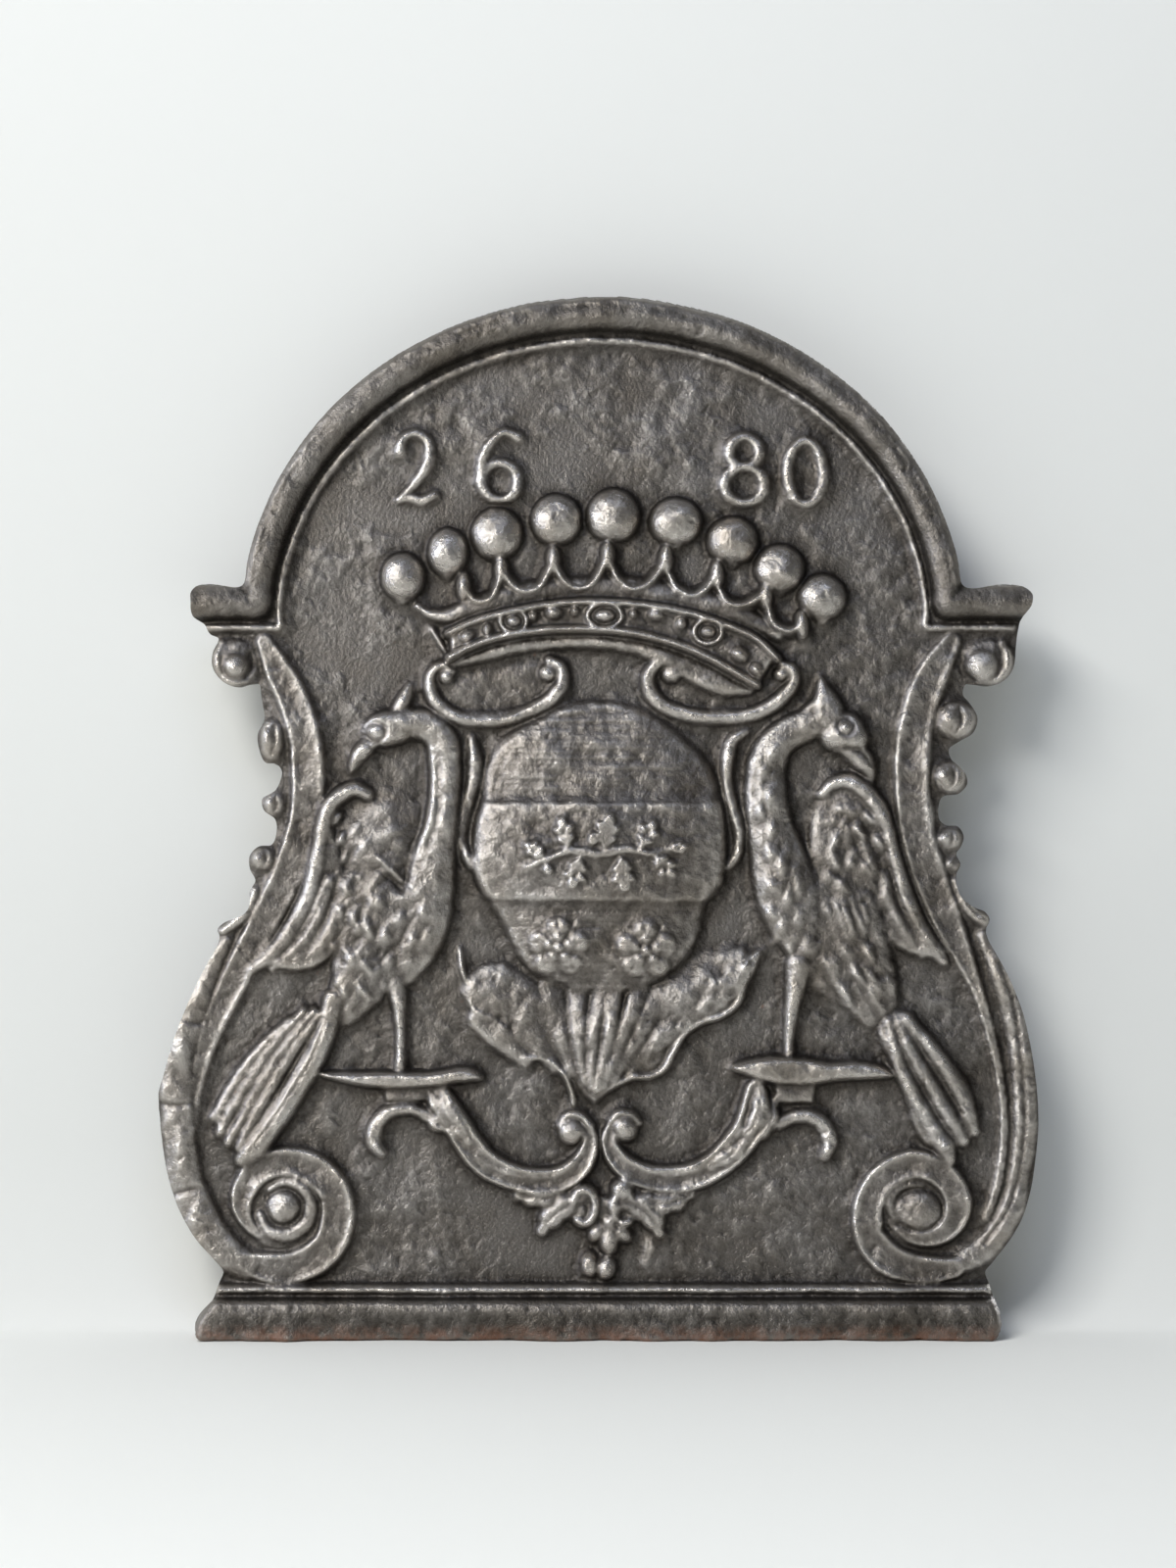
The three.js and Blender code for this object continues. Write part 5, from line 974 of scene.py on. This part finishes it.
leaf([[110, 150, 4, 11], [123, 158, 7, 13.5], [131, 169, 5, 12], [133, 181, 2.4, 8]], 3, 0.2)
vein([[96, 142, 1.4, -1.6], [106, 152, 1.6, -2], [112, 166, 1.6, -2], [114, 182, 1.2, -1.4]])
set_on("right_bracket", leaded_iron)

# ---------------------------------------------------------------- pendant
# A knot of leaves and buds that hangs where the brackets meet.
slab([[-44, 108], [-28, 94], [-8, 84], [6, 76], [20, 84], [38, 94], [54, 106], [20, 114], [4, 108],
      [-12, 114]], 7, 6, smooth=True)
leaf([[-30, 107, 5, 9], [-43, 106, 8, 11], [-60, 108, 4, 8]], 3, 0.22)
leaf([[-14, 107, 6, 10], [-26, 99, 9, 11.5], [-37, 90, 7.5, 11], [-43, 80, 3.5, 8]], 3, 0.22)
leaf([[36, 104, 7, 11], [52, 102, 8.5, 11], [69, 109, 4, 8]], 3, 0.22)
rib(ring(19, 99, 8, 12, np.linspace(0.4, 5.2, 12), 4, 12.5))
leaf([[20, 104, 7, 11], [33, 99, 10, 12.5], [42, 89, 7.5, 11.5], [46, 79, 3.5, 8]], 3, 0.22)
rib(ring(-11, 100, 8.5, 13, np.linspace(-2.2, 2.9, 12), 4.2, 12.5))
dome(-13, 96, 6, 7, 10)
dome(18, 112, 9, 9.5, 14)
dome(12, 100, 7, 9, 12)
for x, z, rx, rz, h, tilt in [
        (-1, 80, 9, 6.5, 11, 50), (17, 80, 10, 6.5, 11, -50), (8, 86, 10, 9, 12, 0),
        (8, 74, 7.5, 12, 13.5, 0), (-6.5, 56, 6.8, 9.5, 12, 8), (6, 53.5, 7.5, 9.5, 12.5, -6)]:
    dome(x, z, rx, rz, h, tilt)
lump(-7.5, 54, 2, 7, -2.4, 5)
lump(2, 88, 3, 6, -2.4, 30)
lump(14, 88, 3, 6, -2.4, -30)
leaf([[36, 84, 2, 3], [38, 70, 4, 4], [34, 56, 1.6, 2.5]], 2, 0.15)
set_on("pendant", leaded_iron)

# ---------------------------------------------------------------- casting
# The finished pattern is rammed in sand and poured. The iron takes soft edges, a rippled
# skin and pits from the mould, and comes out as one metal: neighbouring pieces share edges.
BEDDING = 1.0                       # carvings are let this deep into the board
LOWEST, HIGHEST = -0.8, 26.9        # what the face keeps to
SOFTENING = 1.1                     # how far every edge is rounded
RIPPLES = ((0.9, 15), (0.5, 6.5), (0.26, 3), (0.15, 1.6))       # height, width
POCKS = ((0.7, 1.9, 1.9), (0.9, 2.2, 3.4))                      # depth, rarity, width
# depth from the board's front and inset of the rings that round its sides and rear edge
SIDE_RINGS = [(BEDDING, 0.0), (5, 0.25), (10, 0.3), (BOARD - 2.0, 0.2), (BOARD - 0.6, 0.7),
              (BOARD, 1.6)]
REAR_INSET = SIDE_RINGS[-1][1]

face = blur(face, SOFTENING)
skin = sum(high * unevenness(wide) for high, wide in RIPPLES)
pocks = sum(np.clip(unevenness(wide) - rare, 0, 1) * deep for deep, rare, wide in POCKS)
face = np.clip(face + skin - pocks, LOWEST, HIGHEST)
# how far a spot stands out from what is close by and what is further round it; the colour
# makes what stands out pale, as brushing and painted highlight, and the rest dark, as soot and
# painted shade in the hollows and round the foot of every carving
relief = (0.5 + np.clip((face - blur(face, 3.2)) / 6, -0.14, 0.3)
          + np.clip((face - blur(face, 11)) / 30, -0.08, 0.14))

loop = smooth_line(outline, True, 1.0)[:-1]
loop = np.clip(loop, outline.min(0), outline.max(0))
cx, cz = np.meshgrid((xs[1:] + xs[:-1]) / 2, (zs[1:] + zs[:-1]) / 2)
solid = inside(loop, cx, cz)

# each piece's edge is evened out, then no two cells of a piece touch at a corner only
share = np.zeros(owner.shape)
best = np.zeros(owner.shape, int)
for k, obj in enumerate(pieces):
    mask = (owner == k).astype(float)
    rows_used, cols_used = np.nonzero(mask)
    if not len(rows_used):
        raise SystemExit("nothing carved for " + obj.name)
    r0, r1 = max(rows_used.min() - 6, 0), rows_used.max() + 7
    c0, c1 = max(cols_used.min() - 6, 0), cols_used.max() + 7
    soft = blur(mask[r0:r1, c0:c1], 1.6)
    wins = soft > share[r0:r1, c0:c1]
    share[r0:r1, c0:c1][wins] = soft[wins]
    best[r0:r1, c0:c1][wins] = k
owner = np.where(solid, best, -1)
for _ in range(12):
    a, b, c, d = owner[:-1, :-1], owner[:-1, 1:], owner[1:, :-1], owner[1:, 1:]
    first = (a == d) & (b != a) & (c != a)
    second = (b == c) & (a != b) & (d != b) & ~first
    if not (first.any() or second.any()):
        break
    owner[:-1, 1:][first & (a >= 0)] = a[first & (a >= 0)]
    owner[:-1, 1:][first & (a < 0)] = -1
    owner[:-1, :-1][second & (b >= 0)] = b[second & (b >= 0)]
    owner[:-1, :-1][second & (b < 0)] = -1
solid = owner >= 0

px, pz = X.copy(), Z.copy()
around = np.zeros(X.shape, int)
for di, dj in ((0, 0), (0, 1), (1, 0), (1, 1)):
    around[di:di + solid.shape[0], dj:dj + solid.shape[1]] += solid
for i, j in zip(*np.nonzero((around > 0) & (around < 4))):
    gap = (loop[:, 0] - px[i, j]) ** 2 + (loop[:, 1] - pz[i, j]) ** 2
    px[i, j], pz[i, j] = loop[gap.argmin()]

slope_x = np.gradient(face, STEP, axis=1)
slope_z = np.gradient(face, STEP, axis=0)
steep = np.sqrt(slope_x ** 2 + slope_z ** 2 + 1)
normal = np.stack([-slope_x / steep, -1 / steep, -slope_z / steep], axis=-1)


def side_edges(mask):
    """Directed cell edges of a mask with the mask on their left, as node pairs (i, j)."""
    m = np.pad(mask, 1)
    core = m[1:-1, 1:-1]
    out = []
    for di, dj, start, stop in ((-1, 0, (0, 0), (0, 1)), (0, 1, (0, 1), (1, 1)),
                                (1, 0, (1, 1), (1, 0)), (0, -1, (1, 0), (0, 0))):
        other = m[1 + di:m.shape[0] - 1 + di, 1 + dj:m.shape[1] - 1 + dj]
        for i, j in zip(*np.nonzero(core & ~other)):
            out.append(((i + start[0], j + start[1]), (i + stop[0], j + stop[1])))
    return out


def fill_flat(edges, mask):
    """Triangles over a masked flat, from its edge nodes alone."""
    keys = sorted({n for e in edges for n in e})
    number = {n: k for k, n in enumerate(keys)}
    flat = [Vector((px[n], pz[n])) for n in keys]
    joined = [(number[a], number[b]) for a, b in edges]
    verts, _, faces, origin, _, _ = geometry.delaunay_2d_cdt(flat, joined, [], 0, 1e-7)
    back = [o[0] if o else None for o in origin]
    tris = []
    for f in faces:
        mx = sum(verts[k].x for k in f) / 3
        mz = sum(verts[k].y for k in f) / 3
        i, j = int((mz - zs[0]) / STEP), int((mx - xs[0]) / STEP)
        if 0 <= i < mask.shape[0] and 0 <= j < mask.shape[1] and mask[i, j]:
            if all(back[k] is not None for k in f):
                tris.append([back[k] for k in f])
    return keys, tris


def build(mesh, verts, faces, normals, wear_and_painted_light):
    """Fills in a piece's mesh, with a normal for each corner and for each point the value that
    colours it as wear, soot, painted highlight and painted shade.
    """
    mesh.from_pydata(verts, [], faces)
    mesh.update()
    mesh.polygons.foreach_set("use_smooth", [True] * len(faces))
    mesh.normals_split_custom_set(np.array(normals, float))
    mesh.attributes.new("relief", "FLOAT", "POINT").data.foreach_set("value", wear_and_painted_light)


def cast(k, mesh):
    """A closed solid: the finished face above, walls at its edges and a flat underside."""
    mask = owner == k
    used = np.zeros(X.shape, bool)
    ci, cj = np.nonzero(mask)
    for di, dj in ((0, 0), (0, 1), (1, 0), (1, 1)):
        used[ci + di, cj + dj] = True
    number = -np.ones(X.shape, int)
    ui, uj = np.nonzero(used)
    number[ui, uj] = np.arange(len(ui))
    verts = [(px[n] / 1000, (FRONT - face[n]) / 1000, pz[n] / 1000) for n in zip(ui, uj)]
    # the relief value colours each point: pale as wear and painted highlight, dark as soot and
    # painted shade
    wear_and_painted_light = [float(relief[n]) for n in zip(ui, uj)]
    faces = [(number[i, j], number[i, j + 1], number[i + 1, j + 1], number[i + 1, j])
             for i, j in zip(ci, cj)]
    corner = [normal[i + di, j + dj] for i, j in zip(ci, cj)
              for di, dj in ((0, 0), (0, 1), (1, 1), (1, 0))]
    down = {}

    def level(node, depth, inset=0.0):
        """The point under a node of the grid, at a depth from the board's front."""
        if (node, depth) not in down:
            down[node, depth] = len(verts)
            x, z = px[node], pz[node]
            if inset:
                x, z = x + inset * inward[node][0], z + inset * inward[node][1]
            verts.append((x / 1000, (FRONT + depth) / 1000, z / 1000))
            wear_and_painted_light.append(0.5)
        return down[node, depth]

    def wall(points, a, b):
        """An upright face over the edge from a to b, facing out."""
        out = np.array([pz[b] - pz[a], 0.0, -(px[b] - px[a])])
        faces.append(points)
        corner.extend([out / (np.linalg.norm(out) or 1)] * 4)

    def flat(edges, mask, depth, facing, inset=0.0):
        """A level face at a depth, towards the back (1) or the front (-1)."""
        keys, tris = fill_flat(edges, mask)
        for t in tris:
            faces.append(tuple(level(keys[n], depth, inset) for n in t)[::-facing])
            corner.extend([(0, facing, 0)] * 3)

    edges = side_edges(mask)
    for a, b in edges:
        wall((number[b], number[a], level(a, BEDDING), level(b, BEDDING)), a, b)
    if k > 0:
        flat(edges, mask, BEDDING, 1)
    else:
        bedded = owner > 0
        flat(side_edges(bedded), bedded, BEDDING, -1)
        rim_edges = side_edges(solid)
        for a, b in rim_edges:
            for (d0, s0), (d1, s1) in zip(SIDE_RINGS[:-1], SIDE_RINGS[1:]):
                wall((level(b, d0, s0), level(a, d0, s0), level(a, d1, s1), level(b, d1, s1)), a, b)
        flat(rim_edges, solid, BOARD, 1, REAR_INSET)
    build(mesh, verts, faces, corner, wear_and_painted_light)


# inward direction at each rim node, for the rounded rear edge
inward = {}
for a, b in side_edges(solid):
    turn = np.array([-(pz[b] - pz[a]), px[b] - px[a]])
    for n in (a, b):
        inward[n] = inward.get(n, 0) + turn
for n, v in inward.items():
    inward[n] = v / (np.linalg.norm(v) or 1)
for k, obj in enumerate(pieces):
    cast(k, obj.data)

# ---------------------------------------------------------------- room
# A sheet of pale matt paper that runs over the floor and up behind the plate in one curve,
# so no horizon shows, and plain ground behind it for the views that look from the back.
# From behind, the sheet itself is left out of the picture.
PAPER = "#e8eae8"
HALF_SHEET = 5.0
YARD = (20, 0.03, 30, -0.0005)      # half-width, start, end and height of the ground behind


def stand(name, verts, faces, finish):
    """A piece of the room, which isn't part of the fireback."""
    mesh = bpy.data.meshes.new(name)
    mesh.from_pydata(verts, [], faces)
    mesh.polygons.foreach_set("use_smooth", [True] * len(faces))
    mesh.materials.append(finish)
    obj = bpy.data.objects.new(name, mesh)
    bpy.context.scene.collection.objects.link(obj)
    return obj


paper = bpy.data.materials.new("matt background paper")
paper.use_nodes = True
tree = paper.node_tree
matt = tree.nodes["Principled BSDF"]
matt.inputs["Base Color"].default_value = linear(PAPER)
matt.inputs["Roughness"].default_value = 0.9
turned = add_node(tree, "ShaderNodeNewGeometry").outputs["Backfacing"]
clear = add_node(tree, "ShaderNodeBsdfTransparent").outputs[0]
sides = add_node(tree, "ShaderNodeMixShader", _0=turned, _1=matt.outputs[0], _2=clear)
tree.links.new(sides.outputs[0], tree.nodes["Material Output"].inputs["Surface"])

ground = paper.copy()
ground.name = "matt paper in even light"
tree = ground.node_tree
glow = add_node(tree, "ShaderNodeEmission", Color=linear(PAPER), Strength=0.95)
even = add_node(tree, "ShaderNodeMixShader", Fac=0.85,
                _1=tree.nodes["Principled BSDF"].outputs[0], _2=glow.outputs[0])
tree.links.new(even.outputs[0], tree.nodes["Material Output"].inputs["Surface"])

profile = [(-6.0, 0.0), (-2.0, 0.0), (-0.6, 0.0), (0.03, 0.0)]
profile += [(0.03 + 0.045 * math.sin(t), 0.15 - 0.15 * math.cos(t))
            for t in np.linspace(0.15, 1.5, 14)]
profile += [(0.074, 0.3), (0.05, 1.0), (0.04, 4.0)]
count = len(profile)
paper_sheet = stand("paper", [(x, y, z) for x in (-HALF_SHEET, HALF_SHEET) for y, z in profile],
                    [(k, k + count, k + count + 1, k + 1) for k in range(count - 1)], paper)
half, near, far, level = YARD
floor_behind = stand("floor_behind", [(-half, near, level), (half, near, level),
                                      (half, far, level), (-half, far, level)],
                     [(0, 1, 2, 3)], ground)

# ---------------------------------------------------------------- light
# A broad soft window from the left and a little above, a weak cool door beyond it and the
# ceiling's fill. Dark iron and pale paper need different levels, so each has its own lamps:
# the plate still shades the paper, and the lamp in the yard shows the plate's back.
# Powers are in watts.


def soft_light(name, place, aim, width, height, power, tint):
    """A soft box of light at a place, turned to face aim."""
    lamp = bpy.data.lights.new(name, "AREA")
    lamp.shape = "RECTANGLE"
    lamp.size, lamp.size_y = width, height
    lamp.energy = power
    lamp.color = linear(tint)[:3]
    obj = bpy.data.objects.new(name, lamp)
    obj.location = place
    obj.rotation_euler = (Vector(aim) - Vector(place)).to_track_quat("-Z", "Y").to_euler()
    bpy.context.scene.collection.objects.link(obj)
    return obj


def collect(name, objects):
    group = bpy.data.collections.new(name)
    for obj in objects:
        group.objects.link(obj)
    return group


DAYLIGHT, SKY, OVERCAST, LAMP = "#fffefa", "#d4e0fb", "#f4f6fa", "#fffdf9"
window_lamp = soft_light("window", (-1.7, -1.8, 1.2), (-0.05, 0, 0.42), 0.9, 0.9, 47, DAYLIGHT)
door_lamp = soft_light("door", (-2.4, -0.8, 1.0), (0, 0, 0.42), 0.8, 1.2, 24, SKY)
soft_light("ceiling", (0.0, -2.0, 2.6), (0, 0, 0.4), 1.8, 0.8, 16, SKY)
yard_lamp = soft_light("yard", (1.3, 2.6, 0.9), (0, 0, 0.4), 1.5, 1.5, 45, OVERCAST)
paper_lamp = soft_light("over the paper", (-1.6, -2.6, 3.0), (0.5, -1.7, 0), 2.0, 1.5, 142, LAMP)
iron_alone = collect("iron alone", pieces)
for lamp in (window_lamp, door_lamp, yard_lamp):
    lamp.light_linking.receiver_collection = iron_alone
yard_lamp.light_linking.blocker_collection = iron_alone
paper_lamp.light_linking.receiver_collection = collect("paper alone", (paper_sheet, floor_behind))

# the walls of the room give little light, and are pale where the camera sees them
world = bpy.data.worlds.new("room")
world.use_nodes = True
background = world.node_tree.nodes["Background"]
background.inputs[0].default_value = linear("#dfe4ea")
seen_directly = add_node(world.node_tree, "ShaderNodeLightPath").outputs["Is Camera Ray"]
strength = add_node(world.node_tree, "ShaderNodeMapRange", Value=seen_directly,
                    To_Min=0.08, To_Max=0.95)
world.node_tree.links.new(strength.outputs[0], background.inputs[1])
bpy.context.scene.world = world

# ---------------------------------------------------------------- camera
# Square on to the plate, far enough off that nothing leans, framed as a tall picture.
lens = bpy.data.cameras.new("camera")
lens.lens = 85
lens.sensor_width = 36
lens.sensor_fit = "AUTO"
camera = bpy.data.objects.new("camera", lens)
camera.location = (-0.008, -2.7905, 0.418)
camera.rotation_euler = (math.radians(90), 0, 0)
bpy.context.scene.collection.objects.link(camera)
bpy.context.scene.camera = camera
bpy.context.scene.view_settings.view_transform = "Standard"
